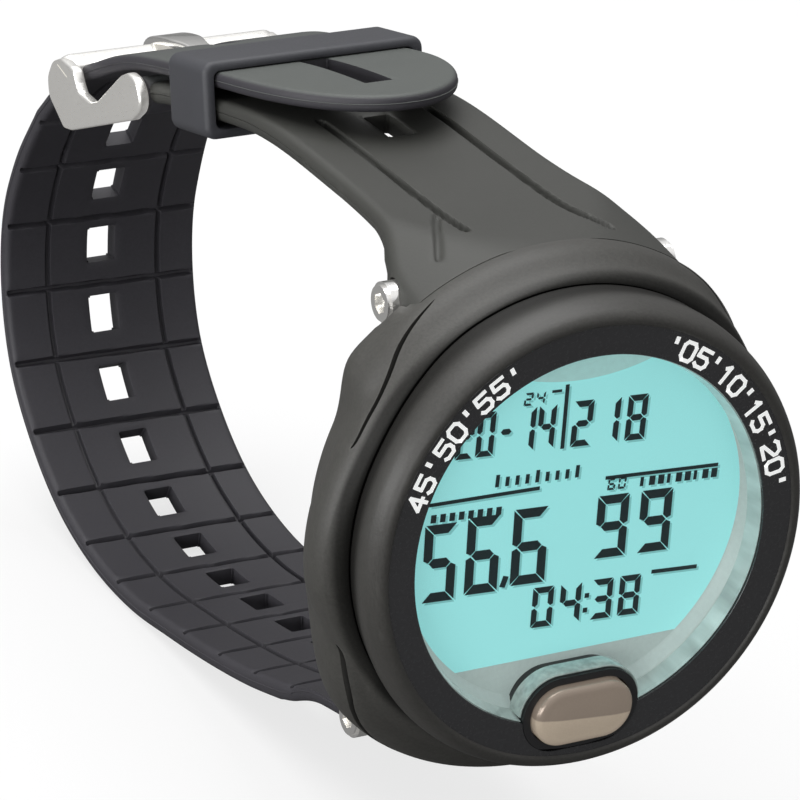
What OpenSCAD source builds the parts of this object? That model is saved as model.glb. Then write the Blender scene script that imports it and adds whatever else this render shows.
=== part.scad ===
// Wrist dive computer with a buckled rubber strap.
// Frame: X to 3 o'clock, Z to 12 o'clock, the face looks along -Y.
// Origin: centre of the case back's flat outer face. Inside the case, depths are
// heights in front of that face (height = -Y), so "back" is the lower height.

/* [Face] */
// Radius of the clear window inside the printed ring
window_r = 22; // [21.7:0.1:22.3]
// Height of the window plane above the case back
window_h = 21.5; // [21.3:0.1:21.6]
// Radius of the push button's rounded ends
button_end_r = 3.5; // [3.3:0.1:3.6]

/* [Case] */
// Radius of the case at its sides
case_r = 28.8; // [28.5:0.1:29]
// Radius of the case back plate
back_r = 20.4; // [20.2:0.1:20.4]
// Radius of the battery cover
cover_r = 13.5; // [13.4:0.02:13.52]
// Height of the coin cell
cell_h = 3; // [2.5:0.5:3]

/* [Strap] */
// Half width of the strap round the wrist
strap_hw = 13.7; // [13.4:0.1:13.8]
// Half width of the strap's free end and buckle end
tail_hw = 12.9; // [12.7:0.1:12.9]
// Thickness of the strap
strap_t = 2.9; // [2.7:0.1:2.9]
// Pitch of the strap's holes
hole_pitch = 9.95; // [9.8:0.05:10.1]
// Number of holes round the wrist
hole_count = 12; // [8:1:12]
// Width of each strap hole
hole_w = 4; // [3.6:0.1:4.2]
// Length of each strap hole
hole_l = 5.2; // [4.4:0.2:5.4]

/* [Buckle] */
// Radius of the buckle's pivot bar
bar_r = 1.3; // [1.2:0.05:1.3]
// Radius of the buckle's end bar
end_bar_r = 1.3; // [1.1:0.1:1.3]
// Thickness of the buckle's side arms
arm_t = 1.4; // [1.2:0.1:1.5]

/* [Hidden] */
$fn = 96;

// places in the case plane
button_z = -21;         // push button's centre
button_half = 2.7;      // half spacing of the button's end radii
stem_z = -20.6;         // axis of the button stem
cell_z = 3;             // battery axis
sensor_z = -13.4;       // pressure sensor axis
contact_x = 9;          // wet contacts, either side of the centre
contact_z = -12.4;
back_screw_circle = 19.05; // radius on which the case back screws lie

// circuit board, and the heights where the parts on each side of it meet it
board_back = 11.7;
board_front = 12.9;
behind_board = board_back - 0.02;
before_board = board_front + 0.02;
cell_front = 3.1 + cell_h;
cap_back = 20.3;        // back of the button cap

// lugs: lists run [12 o'clock, 6 o'clock], axes are [Y, Z]
UPPER = 0;
LOWER = 1;
lug_axes = [[-3.1, 23.2], [-1.2, -28.6]];
knuckle_r = [4.0, 3.5];
knuckle_pad_z = [[0, 4.6], [-3.0, 0]]; // Z range of the knuckle's block from its axis
knuckle_near = 9.3;     // knuckles run from here
knuckle_far = 16.9;     // to the strap's edge
knuckle_gap = 0.2;
pocket_near = knuckle_near - knuckle_gap;
pocket_far = knuckle_far + knuckle_gap;
lug_bar_r = 1.5;
lug_bore_r = lug_bar_r + 0.05;

// buckle axes, [Y, Z]
pivot = [68.2, 20.9];
end_bar = [89.4, 18.9];

// colours shared by several pieces
gasket_black = [0.1, 0.1, 0.1];
oring_black = [0.08, 0.08, 0.08];
contact_brass = [0.85, 0.7, 0.35];

// ---------- helpers ----------
// solid turned about the case axis, profile of [radius, height]
module turned(profile) rotate([90, 0, 0]) rotate_extrude() polygon(profile);
module disc(radius, back, front, x = 0, z = 0) {
  translate([x, -back, z]) rotate([90, 0, 0]) cylinder(r = radius, h = front - back);
}
// prism of an XZ outline between two heights
module prism(back, front) {
  translate([0, -back, 0]) rotate([90, 0, 0]) linear_extrude(front - back) children();
}
// box from its ranges in X, height and Z
module block(xs, heights, zs) {
  translate([xs[0], -heights[1], zs[0]])
    cube([xs[1] - xs[0], heights[1] - heights[0], zs[1] - zs[0]]);
}
// outline with two round ends
module oval(end_r, half) {
  union() {
    translate([-half, 0]) circle(end_r);
    translate([half, 0]) circle(end_r);
    square([2 * half, 2 * end_r], center = true);
  }
}
// O-ring about a case-depth axis
module torus(ring_r, wire_r, height, x, z) {
  translate([x, -height, z]) rotate([90, 0, 0]) rotate_extrude()
    translate([ring_r, 0]) circle(wire_r, $fn = 24);
}
// prism of a YZ outline across the strap
module across(width) {
  rotate([90, 0, 90]) translate([0, 0, -width / 2]) linear_extrude(width) children();
}
// rod along X about a [Y, Z] axis
module rod(radius, xs, axis) {
  translate([xs[0], axis[0], axis[1]]) rotate([0, 90, 0])
    cylinder(r = radius, h = xs[1] - xs[0]);
}
// X range from near to far, on the side given by 1 or -1
function side_range(side, near, far) = side > 0 ? [near, far] : [-far, -near];
module rod_pair(radius, near, far, axis) {
  for (side = [-1, 1]) rod(radius, side_range(side, near, far), axis);
}
module at_cell() translate([0, 0, cell_z]) children();
module at_contacts() {
  for (side = [-1, 1]) translate([side * contact_x, 0, contact_z]) children();
}
module at_back_screws() {
  for (a = [45:90:315])
    translate([back_screw_circle * cos(a), 0, back_screw_circle * sin(a)]) children();
}

// ---------- strap curves ----------
// Catmull-Rom point between p1 and p2
function curve_point(p0, p1, p2, p3, t) = 0.5 * (2 * p1 + (p2 - p0) * t
  + (2 * p0 - 5 * p1 + 4 * p2 - p3) * t * t + (3 * p1 - p0 - 3 * p2 + p3) * t * t * t);
// curve through the points, with four steps between neighbours
function spline(points, steps = 4) = let (last = len(points) - 1) concat(
  [for (i = [0:last - 1], k = [0:steps - 1]) curve_point(
    i > 0 ? points[i - 1] : 2 * points[0] - points[1],
    points[i],
    points[i + 1],
    i < last - 1 ? points[i + 2] : 2 * points[last] - points[last - 1],
    k / steps)],
  [points[last]]);
function unit(v) = v / norm(v);
function normal(path, i) =
  let (along = unit(path[min(i + 1, len(path) - 1)] - path[max(i - 1, 0)]))
  [-along[1], along[0]];
// path moved sideways
function shifted(path, offset) =
  [for (i = [0:len(path) - 1]) path[i] + normal(path, i) * offset];
// outline of a strip centred on the path
function strip(path, thickness) = concat(
  shifted(path, thickness / 2),
  [for (i = [len(path) - 1:-1:0]) path[i] - normal(path, i) * thickness / 2]);
function length_to(path, i) =
  i == 0 ? 0 : length_to(path, i - 1) + norm(path[i] - path[i - 1]);
// [segment, fraction of it] at a distance along the path
function segment_at(path, distance, i = 0, passed = 0) =
  let (step = norm(path[i + 1] - path[i]))
  (passed + step >= distance || i == len(path) - 2)
    ? [i, (distance - passed) / step]
    : segment_at(path, distance, i + 1, passed + step);

// centrelines, [Y, Z]
// from the 12 o'clock lug to the buckle
upper_path = spline([
  [-8.4, 28.35], [-3, 28.1], [5, 27.7], [17, 27.85], [30, 28.1], [38, 27.7],
  [44.5, 26.67], [52.85, 24.9], [61.5, 23.07], [66.2, 21.7], pivot]);
// from the 6 o'clock lug round the wrist
lower_path = spline([
  [-8.4, -29.9], [-4, -30.6], [0, -31.55], [5, -32.9], [9.4, -34.3], [13.6, -35.7],
  [18.6, -37.25], [26.2, -39.6], [34.2, -41.8], [44.4, -43.9], [54.9, -45.6], [66, -47],
  [77, -46.5], [87.3, -43.7], [96.2, -38.3], [103.5, -30.7], [107.1, -21.4],
  [107.5, -11.3], [104.2, -1.3], [98.8, 7.2]]);
// from there through the buckle to the free end
tail_path = spline([
  [98.8, 7.2], [93.8, 12.1], [87.8, 16.4], [82.6, 19.1], [77.3, 21.7], [72.6, 23.6],
  [68.2, 24.95], [61.5, 26.65], [52.85, 28.75], [44.5, 30.7], [37.5, 32.05],
  [30, 33.25], [24.6, 34.1]]);
tongue_path = spline([
  [69.6, 20.9], [72, 20.6], [74.6, 20.6], [77.6, 21.3], [80.6, 21.8], [84.4, 21.7],
  [88.4, 21.1], [91.2, 20.1], [92.8, 18]]);

module band(path, width, thickness = strap_t) across(width) polygon(strip(path, thickness));
// rectangular hole through a strap at a distance along its centreline
module slot(path, distance, length, width) {
  place = segment_at(path, distance);
  start = path[place[0]];
  step = path[place[0] + 1] - start;
  middle = start + step * place[1];
  translate([0, middle[0], middle[1]]) rotate([atan2(step[1], step[0]), 0, 0])
    cube([width, length, 8], center = true);
}

// ---------- case ----------
// outline radius against the angle from the 3 or 9 o'clock line
lower_rim = [
  [0, case_r - 0.3], [10, case_r - 0.2], [18, 28.9], [24, 29.5], [33, 31.0], [38, 32.0],
  [43, 32.6], [55, 33.0], [75, 33.2], [90, 33.3]];
upper_rim = [
  [0, case_r - 0.3], [12, case_r - 0.3], [25, case_r - 0.2], [38, 29.0], [45, 29.6],
  [52, 30], [90, 30]];
// layers that follow the outline: back, front, inset, sectors in degrees from 3 o'clock
rim_slabs = [
  [8.6, 11.2, 0, [[51, 129], [204, 336]]],
  [7.4, 8.65, 0.5, [[54, 126], [207, 333]]],
  [11.15, 12.6, 1, [[54, 126], [210, 330]]],
  [12.55, 13.8, 2.4, [[216, 324]]],
  // shoulders beside the straps
  [5, 8.7, 0.4, [[27, 51], [129, 153], [213, 231], [309, 327]]],
  [3, 5.05, 2, [[30, 51], [129, 150], [216, 231], [309, 324]]]];
slab_core_r = 21.7;     // radius of a layer outside its sectors

function rim(angle) =
  let (turn = angle > 180 ? 360 - angle : angle)
  lookup(min(turn, 180 - turn), angle > 180 ? lower_rim : upper_rim);
function in_sectors(angle, sectors) =
  len([for (s = sectors) if (angle > s[0] - 0.1 && angle < s[1] + 0.1) 1]) > 0;
module rim_slab(back, front, inset, sectors) {
  prism(back, front) polygon([for (a = [0:3:357])
    (in_sectors(a, sectors) ? rim(a) - inset : slab_core_r) * [cos(a), sin(a)]]);
}
module lug_pocket(end) {
  axis = lug_axes[end];
  pocket_r = knuckle_r[end] + 0.25;
  front = pocket_r - axis[0];
  // the 6 o'clock pockets run behind the case to well above its axis
  zs = end == UPPER ? [axis[1] - pocket_r, 60] : [-60, -axis[1] - pocket_r];
  for (side = [-1, 1])
    block(side_range(side, pocket_near, pocket_far), [front - 40, front], zs);
  rod_pair(2.75, pocket_near, 40, axis);
  // the strap's outer skin passes over the centre lug
  skin_z = [26.55, -68.2][end];
  block([-pocket_far, pocket_far], [-51.6, 8.4], [skin_z, skin_z + 40]);
}
// lug in the middle that carries the lug bar
module centre_lug(end) {
  axis = lug_axes[end];
  xs = [-pocket_near, pocket_near];
  union() {
    rod(2.6, xs, axis);
    block(xs, [0.7, 6], end == UPPER ? [18, axis[1] + 0.3] : [axis[1] - 0.3, -18]);
  }
}
module case_body() {
  color([0.16, 0.16, 0.15]) difference() {
    union() {
      difference() {
        union() {
          turned([
            [0, 0.4], [20.9, 0.4], [22.4, 0.8], [25.4, 4.0], [27.4, 7.2],
            [case_r - 0.3, 9.2], [case_r, 10.6], [case_r, 12], [case_r - 0.3, 13.4],
            [28, 14.6], [27.5, 15], [27.1, 14.8], [26.9, 14.2], [26.9, 18.4], [0, 18.4]]);
          for (slab = rim_slabs) rim_slab(slab[0], slab[1], slab[2], slab[3]);
        }
        for (end = [UPPER, LOWER]) lug_pocket(end);
      }
      for (end = [UPPER, LOWER]) centre_lug(end);
    }
    // back opening, recess for the back plate, gasket groove and screw holes
    disc(16.9, -1, 9.6);
    disc(back_r + 0.1, -1, 1.7);
    difference() {
      disc(17.95, 1.5, 2.2);
      disc(17.25, 1.4, 2.3);
    }
    at_back_screws() disc(0.7, 1, 5);
    // front cavity and lens seat
    disc(23.1, 9.4, 19);
    disc(24.3, 17.6, 19);
    for (axis = lug_axes) rod(lug_bore_r, [-12, 12], axis);
  }
}
module bezel_ring() {
  color([0.2, 0.2, 0.19]) turned([
    [27, 15.7], [27.6, 15.6], [27.9, 15.9], [28.1, 16.8], [28.1, 18], [27.9, 19.3],
    [27.45, 20.6], [26.95, 21.5], [26.5, 21.95], [26.1, 22], [25.75, 21.8], [25.5, 21.4],
    [25.5, 20], [26.5, 20], [26.5, 18.6], [27, 18.5]]);
}
module button_prism(back, front, end_r, half) {
  prism(back, front) translate([0, button_z]) oval(end_r, half);
}
// opening for the button guide's flange
flange_end_r = 4.5;
flange_half = 2.8;
module guide_opening(gap) button_prism(10, 30, flange_end_r + gap, flange_half);
module lens() {
  ring_seat = window_h - 0.3;
  color([0.8, 0.95, 0.92, 0.35]) difference() {
    // the window's front is slightly domed
    turned(concat(
      [[0, 18.95], [26.3, 18.95], [26.3, 19.9], [25.35, 19.9], [25.35, ring_seat],
        [window_r - 0.05, ring_seat]],
      [for (i = [0:6]) let (r = (window_r - 0.2) * (1 - i / 6))
        [r, window_h - 0.05 + 0.5 * (1 - pow(r / window_r, 2))]]));
    guide_opening(0.05);
  }
}
module dial_ring() {
  back = window_h - 0.28;
  front = window_h + 0.02;
  color([0.05, 0.05, 0.06]) difference() {
    turned([[window_r, back], [25.35, back], [25.35, front], [window_r, front]]);
    guide_opening(0.05);
  }
}
module lens_gasket() {
  color(gasket_black) turned([[24.7, 18.42], [26.2, 18.42], [26.2, 18.87], [24.7, 18.87]]);
}

// ---------- display ----------
module display_frame() {
  color([0.62, 0.68, 0.66]) difference() {
    turned([[20.9, 17.55], [22, 18.9], [22.95, 18.9], [22.95, 16.0], [21.7, 16.0],
      [21.7, 17.55]]);
    guide_opening(0.1);
  }
}
module lcd_panel() {
  color([0.58, 0.85, 0.83]) difference() {
    disc(21.5, 16.1, 17.5);
    block([-30, 30], [10, 20], [-30, -15.6]);
  }
}
module backlight_panel() {
  color([0.9, 0.93, 0.9]) difference() {
    disc(19.6, 15.1, 16);
    block([-30, 30], [10, 20], [-30, -12.6]);
    block([-30, 30], [10, 20], [14.6, 30]);
  }
}
module zebra_connectors() {
  heights = [12.95, 16.05];
  color([0.85, 0.45, 0.55]) {
    block([-11, 11], heights, [14.9, 16.7]);
    block([-13, 13], heights, [-15.3, -13.3]);
  }
}

// ---------- circuit board ----------
module circuit_board() {
  color([0.1, 0.35, 0.2]) difference() {
    disc(22.7, board_back, board_front);
    at_contacts() disc(0.9, 11, 14);
    for (side = [-1, 1]) disc(1.1, 11, 14, side * 20.2, 5);
  }
}
module board_chips() {
  color([0.08, 0.08, 0.09]) {
    // behind the board
    block([-3.5, 3.5], [10.4, behind_board], [1, 8]);
    block([5.5, 9.5], [10.7, behind_board], [-3, 1]);
    block([-10.5, -7.5], [10.7, behind_board], [-2, 1]);
    for (i = [0:4])
      block([-6 + 2.6 * i, -4.8 + 2.6 * i], [11.0, behind_board], [-5.6, -5]);
    // in front of it
    block([8, 12], [before_board, 14], [4, 8]);
    for (i = [0:3])
      block([-2 + 2.4 * i, -0.8 + 2.4 * i], [before_board, 13.5], [-9.6, -9]);
  }
}
module crystal() color([0.8, 0.8, 0.82]) rod(1, [-3, 3], [-13.95, 9]);
module buzzer() {
  color([0.75, 0.6, 0.3]) union() {
    disc(4.6, before_board, 13.4, -10, -3);
    disc(3.6, 13.4, 14.7, -10, -3);
  }
}
module tact_switch() {
  color([0.7, 0.7, 0.7]) union() {
    block([-1.5, 1.5], [before_board, 13.4], [stem_z - 1.5, stem_z + 1.5]);
    disc(0.8, 13.3, 13.8, 0, stem_z);
  }
}

// ---------- power, chassis, sensor ----------
module chassis() {
  color([0.75, 0.75, 0.72]) difference() {
    union() {
      disc(16.6, 2.75, 9.65);
      disc(22.9, 9.65, 11.65);
    }
    // cell pocket, then the hollow and the ring-shaped recesses behind the board
    disc(12.4, 2, cell_front + 0.1, 0, cell_z);
    disc(14.6, 6.9, 12);
    difference() {
      disc(21.5, 10.4, 12);
      disc(15.5, 10, 12.5);
    }
    difference() {
      disc(18, 10.4, 12);
      disc(1, 10, 12.5);
    }
    // sensor, wet contacts and battery contacts
    disc(3.05, 2, 12, 0, sensor_z);
    at_contacts() disc(0.9, 2, 12);
    block([-2.2, 2.2], [5, 8], [-2, 7]);
    block([12.2, 13.3], [2, 12], [1.4, 4.6]);
  }
}
module coin_cell() {
  step = cell_front - 0.2;
  color([0.82, 0.82, 0.8]) union() {
    disc(12.2, 3.1, step, 0, cell_z);
    disc(10.6, step, cell_front, 0, cell_z);
  }
}
// legs of the bent strip: height range, Z range
negative_legs = [
  [[6.15, 6.4], [-1.6, 6.6]],
  [[6.15, 10.3], [6.35, 6.6]],
  [[10.05, 10.3], [6.4, 9.6]],
  [[10.05, behind_board], [9.35, 9.6]]];
module battery_contact_negative() {
  color(contact_brass) union() for (leg = negative_legs) block([-1.9, 1.9], leg[0], leg[1]);
}
// legs of the bent strip: X range, height range
positive_legs = [
  [[12.55, 12.8], [3.4, 10.9]],
  [[12.55, 14.2], [10.65, 10.9]],
  [[13.95, 14.2], [10.65, behind_board]]];
module battery_contact_positive() {
  color(contact_brass) union() for (leg = positive_legs) block(leg[0], leg[1], [1.8, 4.2]);
}
module pressure_sensor() {
  color([0.75, 0.76, 0.78]) union() {
    disc(2.9, 2.4, 5.2, 0, sensor_z);
    disc(2.2, 5.2, 9.8, 0, sensor_z);
    block([-1.6, 1.6], [9.8, behind_board], [sensor_z - 1.6, sensor_z + 1.6]);
  }
}
module sensor_oring() color(gasket_black) torus(2.35, 0.35, 2.02, 0, sensor_z);

// ---------- case back ----------
module case_back() {
  color([0.14, 0.14, 0.14]) difference() {
    union() {
      disc(back_r, 0, 1.65);
      // raised rim on the inner face
      difference() {
        disc(16.6, 1.6, 2.05);
        disc(14.9, 1, 3);
      }
    }
    disc(cover_r + 0.08, -1, 3, 0, cell_z);
    // bayonet notches
    for (a = [30, 210]) at_cell() rotate([0, -a, 0]) block([12, 14.9], [-1, 3], [-2.4, 2.4]);
    // sensor ports
    for (a = [0:120:240]) disc(0.5, -1, 3, 1.1 * cos(a), sensor_z + 1.1 * sin(a));
    at_back_screws() {
      disc(0.85, -1, 3);
      disc(1.3, -1, 0.9);
    }
    at_contacts() {
      disc(0.8, -1, 3);
      disc(1.5, -1, 0.6);
    }
    disc(3.1, 1.65, 3, 0, sensor_z);
    // clearance for the bayonet tabs
    difference() {
      disc(14.75, 1.5, 3, 0, cell_z);
      disc(12, 1, 4, 0, cell_z);
    }
  }
}
module case_back_gasket() {
  color(gasket_black) turned([[17.3, 1.68], [17.9, 1.68], [17.9, 2.15], [17.3, 2.15]]);
}
module case_back_screws() {
  color([0.75, 0.75, 0.77]) at_back_screws() difference() {
    union() {
      disc(1.22, 0.1, 0.88);
      disc(0.66, 0.8, 4.4);
    }
    // cross recess
    for (b = [0, 90]) rotate([0, b, 0]) block([-0.9, 0.9], [-1, 0.45], [-0.18, 0.18]);
  }
}
module battery_cover() {
  color([0.16, 0.16, 0.16]) union() {
    difference() {
      // the profile has the O-ring's groove in its edge
      at_cell() turned([
        [0, 0], [cover_r - 0.3, 0], [cover_r, 0.25], [cover_r, 0.7], [12.95, 0.7],
        [12.95, 1.45], [cover_r, 1.45], [cover_r, 1.6], [cover_r, 2.6], [11.4, 2.6],
        [11.4, 1.9], [0, 1.9]]);
      // coin slot
      at_cell() block([-8.5, 8.5], [-1, 0.9], [-0.8, 0.8]);
    }
    // bayonet tabs
    for (a = [-30, 150]) at_cell() rotate([0, -a, 0]) intersection() {
      block([12.5, 15], [1.75, 2.45], [-2, 2]);
      difference() {
        disc(14.55, 1, 3);
        disc(12.6, 0, 4);
      }
    }
  }
}
module battery_oring() color(oring_black) torus(13.24, 0.28, 1.07, 0, cell_z);
module wet_contacts() {
  color([0.85, 0.8, 0.6]) at_contacts() union() {
    disc(1.4, 0.05, 0.55);
    disc(0.7, 0.5, 12.6);
  }
}

// ---------- button ----------
// steps of the cap: back, front, inset
cap_steps = [[cap_back, 22.6, 0], [22.6, 22.9, 0.3], [22.9, 23.1, 0.8]];
stem_r = 1.2;
module button_cap() {
  color([0.5, 0.44, 0.38]) difference() {
    union() for (step = cap_steps)
      button_prism(step[0], step[1], button_end_r - step[2], button_half);
    // pocket over the return spring, round the stem
    difference() {
      disc(2.5, 20, 21, 0, stem_z);
      disc(stem_r, 19, 22, 0, stem_z);
    }
  }
}
module button_stem() {
  color([0.7, 0.7, 0.7]) difference() {
    disc(stem_r, 14.85, cap_back - 0.02, 0, stem_z);
    // groove for the clip
    difference() {
      disc(2, 15.3, 15.62, 0, stem_z);
      disc(0.85, 15, 16, 0, stem_z);
    }
  }
}
module button_guide() {
  color([0.05, 0.05, 0.05]) difference() {
    intersection() {
      union() {
        button_prism(15.95, 18.9, 4.3, 2.7);
        button_prism(18.8, 21.6, flange_end_r, flange_half);
      }
      union() {
        disc(25.4, 18.9, 30);
        disc(23, 10, 19);
      }
    }
    // wells for the cap and spring, stem bore, O-ring groove and clip recess
    button_prism(19.25, 30, 3.65, 2.75);
    disc(2.6, 18.2, 20, 0, stem_z);
    disc(stem_r + 0.05, 10, 30, 0, stem_z);
    disc(1.75, 16.7, 17.6, 0, stem_z);
    disc(2.2, 15, 16.25, 0, stem_z);
  }
}
module button_oring() color(oring_black) torus(1.5, 0.245, 17.15, 0, stem_z);
// coil with a round wire, axis along +Z, lower end at z = 0
module coil(coil_r, wire_r, height, turns, turn_steps, wire_steps) {
  rings = turns * turn_steps;
  points = [for (i = [0:rings], k = [0:wire_steps - 1])
    let (a = 360 * i / turn_steps, b = 360 * k / wire_steps, r = coil_r + wire_r * cos(b))
    [r * cos(a), r * sin(a),
      wire_r + (height - 2 * wire_r) * i / rings + wire_r * sin(b)]];
  start_cap = [for (k = [0:wire_steps - 1]) k];
  end_cap = [for (k = [wire_steps - 1:-1:0]) rings * wire_steps + k];
  sides = [for (i = [0:rings - 1], k = [0:wire_steps - 1])
    let (this = i * wire_steps, next = this + wire_steps, k_next = (k + 1) % wire_steps)
    [this + k, next + k, next + k_next, this + k_next]];
  polyhedron(points, concat([start_cap], [end_cap], sides));
}
module button_spring() {
  color([0.8, 0.8, 0.8]) translate([0, -18.23, stem_z]) rotate([90, 0, 0])
    coil(coil_r = 1.95, wire_r = 0.22, height = 2.7, turns = 4, turn_steps = 20, wire_steps = 8);
}
module button_clip() {
  color([0.6, 0.6, 0.62]) difference() {
    disc(1.9, 15.33, 15.59, 0, stem_z);
    disc(0.9, 15, 16, 0, stem_z);
    block([-0.6, 0.6], [15, 16], [stem_z - 3, stem_z]);
  }
}

// ---------- straps ----------
// half of the plan outline of a strap's lug end, [X, Y]
lug_half_plan = [
  [knuckle_far, -8.3], [knuckle_far, -2.5], [15.4, 1.5], [14.2, 5.5], [13.6, 10],
  [12.9, 16], [12.9, 20]];
module lug_plan() {
  last = len(lug_half_plan) - 1;
  translate([0, 0, -60]) linear_extrude(120) polygon(concat(lug_half_plan,
    [for (i = [last:-1:0]) [-lug_half_plan[i][0], lug_half_plan[i][1]]]));
}
// near the case the strap's outer face follows the round case
module lug_cone(front_r, back_r) {
  rotate([-90, 0, 0]) translate([0, 0, -8.4]) cylinder(r1 = front_r, r2 = back_r, h = 28.4);
}
// the knuckles that wrap the lug bar
module knuckles(end) {
  axis = lug_axes[end];
  radius = knuckle_r[end];
  for (side = [-1, 1]) {
    xs = side_range(side, knuckle_near, knuckle_far);
    rod(radius, xs, axis);
    block(xs, [-axis[0] - radius, -axis[0] + radius],
      [for (z = knuckle_pad_z[end]) axis[1] + z]);
  }
}
// what the lug bar, the centre lug and the screw heads take out of a strap
module strap_bores(end) {
  axis = lug_axes[end];
  rod(lug_bore_r, [-20, 20], axis);
  rod(2.9, [-knuckle_near, knuckle_near], axis);
  rod_pair(2.6, 15.4, 20, axis);
}
module upper_strap() {
  color([0.19, 0.19, 0.18]) difference() {
    union() {
      intersection() {
        union() {
          band([for (p = upper_path) if (p[0] < 19.9) p], 34, 3.0);
          knuckles(UPPER);
        }
        lug_plan();
        lug_cone(30, 34.6);
      }
      band([for (p = upper_path) if (p[0] > 12 && p[0] < 66.5) p], 2 * tail_hw);
      rod(2.3, [-tail_hw, tail_hw], pivot);
    }
    rod(bar_r + 0.01, [-20, 20], pivot);
    strap_bores(UPPER);
    // room for the tongue's eye
    translate([-2.7, 63.9, 15]) cube([5.4, 10, 12]);
    // slot under the free end
    slot(upper_path, 38.2, 6.6, 3.4);
  }
}
// holes of the free end: distance along it, length, width
// the first is the one that the tongue passes through
tail_slots = [
  [27.6, 11.4, 3.6], [6.2, hole_l, hole_w], [43.6, hole_l, 3.6], [64.2, 16.6, 3.6]];
// plan of the free end with its rounded tip
module tail_plan() {
  translate([0, 0, -50]) linear_extrude(120) polygon(concat(
    [[-tail_hw, 120], [-tail_hw, 45]],
    [for (a = [5:5:175]) [-tail_hw * cos(a), 45 - 19.5 * sin(a)]],
    [[tail_hw, 45], [tail_hw, 120]]));
}
module lower_strap() {
  last = len(lower_path) - 1;
  lug_part = [for (p = lower_path) if (p[0] < 19.5 && p[1] < 0) p];
  wrist_part = [for (i = [19:last]) lower_path[i]];
  color([0.17, 0.17, 0.18]) difference() {
    union() {
      intersection() {
        union() {
          band(shifted(lug_part, -0.1), 34, 2.6);
          knuckles(LOWER);
        }
        lug_plan();
        lug_cone(33.3, 39.2);
      }
      band(shifted(wrist_part, 0.25), 2 * strap_hw, strap_t - 0.5);
      intersection() {
        band(tail_path, 2 * tail_hw, 2);
        tail_plan();
      }
    }
    strap_bores(LOWER);
    for (i = [0:hole_count - 1])
      slot(lower_path, length_to(lower_path, last) - 4.8 - hole_pitch * i, hole_l, hole_w);
    for (hole = tail_slots) slot(tail_path, hole[0], hole[1], hole[2]);
  }
}
module lug_bar(end) {
  color([0.8, 0.8, 0.82]) difference() {
    rod(lug_bar_r, [-15.2, 15.2], lug_axes[end]);
    rod_pair(0.95, 9.5, 16, lug_axes[end]);
  }
}
module upper_lug_bar() lug_bar(UPPER);
module lower_lug_bar() lug_bar(LOWER);
// parts of a bar screw, shank then head: radius, near X, far X
screw_parts = [[0.93, 10, 16], [2.35, 15.5, 17.7], [2.0, 17.6, 18.1]];
module bar_screws(end) {
  axis = lug_axes[end];
  color([0.85, 0.85, 0.87]) for (side = [-1, 1]) difference() {
    union() for (part = screw_parts) rod(part[0], side_range(side, part[1], part[2]), axis);
    // hex socket
    translate([side * 17.8, axis[0], axis[1]]) rotate([0, 90, 0])
      cylinder(r = 1.25, h = 2.4, center = true, $fn = 6);
  }
}
module upper_bar_screws() bar_screws(UPPER);
module lower_bar_screws() bar_screws(LOWER);
module keeper() {
  length = 10.1;
  corner_z = 3.5;
  color([0.18, 0.18, 0.18]) translate([0, 52.85, 26.48]) rotate([-11.97, 0, 0]) difference() {
    union() {
      cube([2 * tail_hw + 1.1, length, 9.3], center = true);
      cube([2 * tail_hw + 3.4, length, 2 * corner_z], center = true);
      for (x = [-1, 1], z = [-1, 1])
        translate([x * (tail_hw + 0.55), 0, z * corner_z]) rotate([90, 0, 0])
          cylinder(r = 1.15, h = length, center = true);
    }
    cube([2 * tail_hw + 0.5, 20, 6.8], center = true);
  }
}

// ---------- buckle ----------
// side outline of an arm, [Y, Z]: heel round the end bar, web below, pivot ear
module arm_outline() {
  difference() {
    union() {
      translate(pivot) circle(3.0);
      translate(end_bar) circle(2.0);
      polygon([
        [91.4, 18.9], [92.2, 15.4], [91.2, 12.6], [88.6, 10.6], [86, 10.2], [69.4, 17.2],
        [66.6, 18.4], [65.6, 20.2], [68.2, 23.9], [72, 20.9], [89.4, 20.9]]);
      polygon([[84.6, 9.9], [87.4, 10.0], [87.4, 12], [84.6, 12]]);
    }
    // the throat between the end bar and the ear
    polygon([
      [88.1, 21.6], [88.1, 17.2], [86.4, 15.4], [80.6, 14.3], [79.2, 14.5], [77.9, 15.8],
      [70.9, 22.7], [72.4, 26], [86, 26]]);
    translate(pivot) circle(bar_r + 0.05);
  }
}
module buckle_frame() {
  color([0.78, 0.78, 0.76]) union() {
    for (side = [-1, 1])
      translate([side * (13.5 + arm_t / 2), 0, 0]) across(arm_t) arm_outline();
    rod(end_bar_r, [-14, 14], end_bar);
  }
}
module buckle_bar() color([0.7, 0.7, 0.7]) rod(bar_r, [-14.85, 14.85], pivot);
module buckle_tongue() {
  color([0.8, 0.8, 0.78]) difference() {
    union() {
      band(tongue_path, 3.1, 1.1);
      band([for (p = tongue_path) if (p[0] > 82) p], 4.4, 1.1);
      rod(2.3, [-2.3, 2.3], pivot);
    }
    rod(bar_r + 0.05, [-5, 5], pivot);
  }
}

case_body();
bezel_ring();
lens();
dial_ring();
lens_gasket();
display_frame();
lcd_panel();
backlight_panel();
zebra_connectors();
circuit_board();
board_chips();
crystal();
pressure_sensor();
sensor_oring();
buzzer();
tact_switch();
chassis();
coin_cell();
battery_contact_negative();
battery_contact_positive();
case_back();
case_back_gasket();
case_back_screws();
battery_cover();
battery_oring();
wet_contacts();
button_cap();
button_stem();
button_guide();
button_oring();
button_spring();
button_clip();
upper_strap();
lower_strap();
upper_lug_bar();
upper_bar_screws();
lower_lug_bar();
lower_bar_screws();
keeper();
buckle_frame();
buckle_bar();
buckle_tongue();
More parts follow.
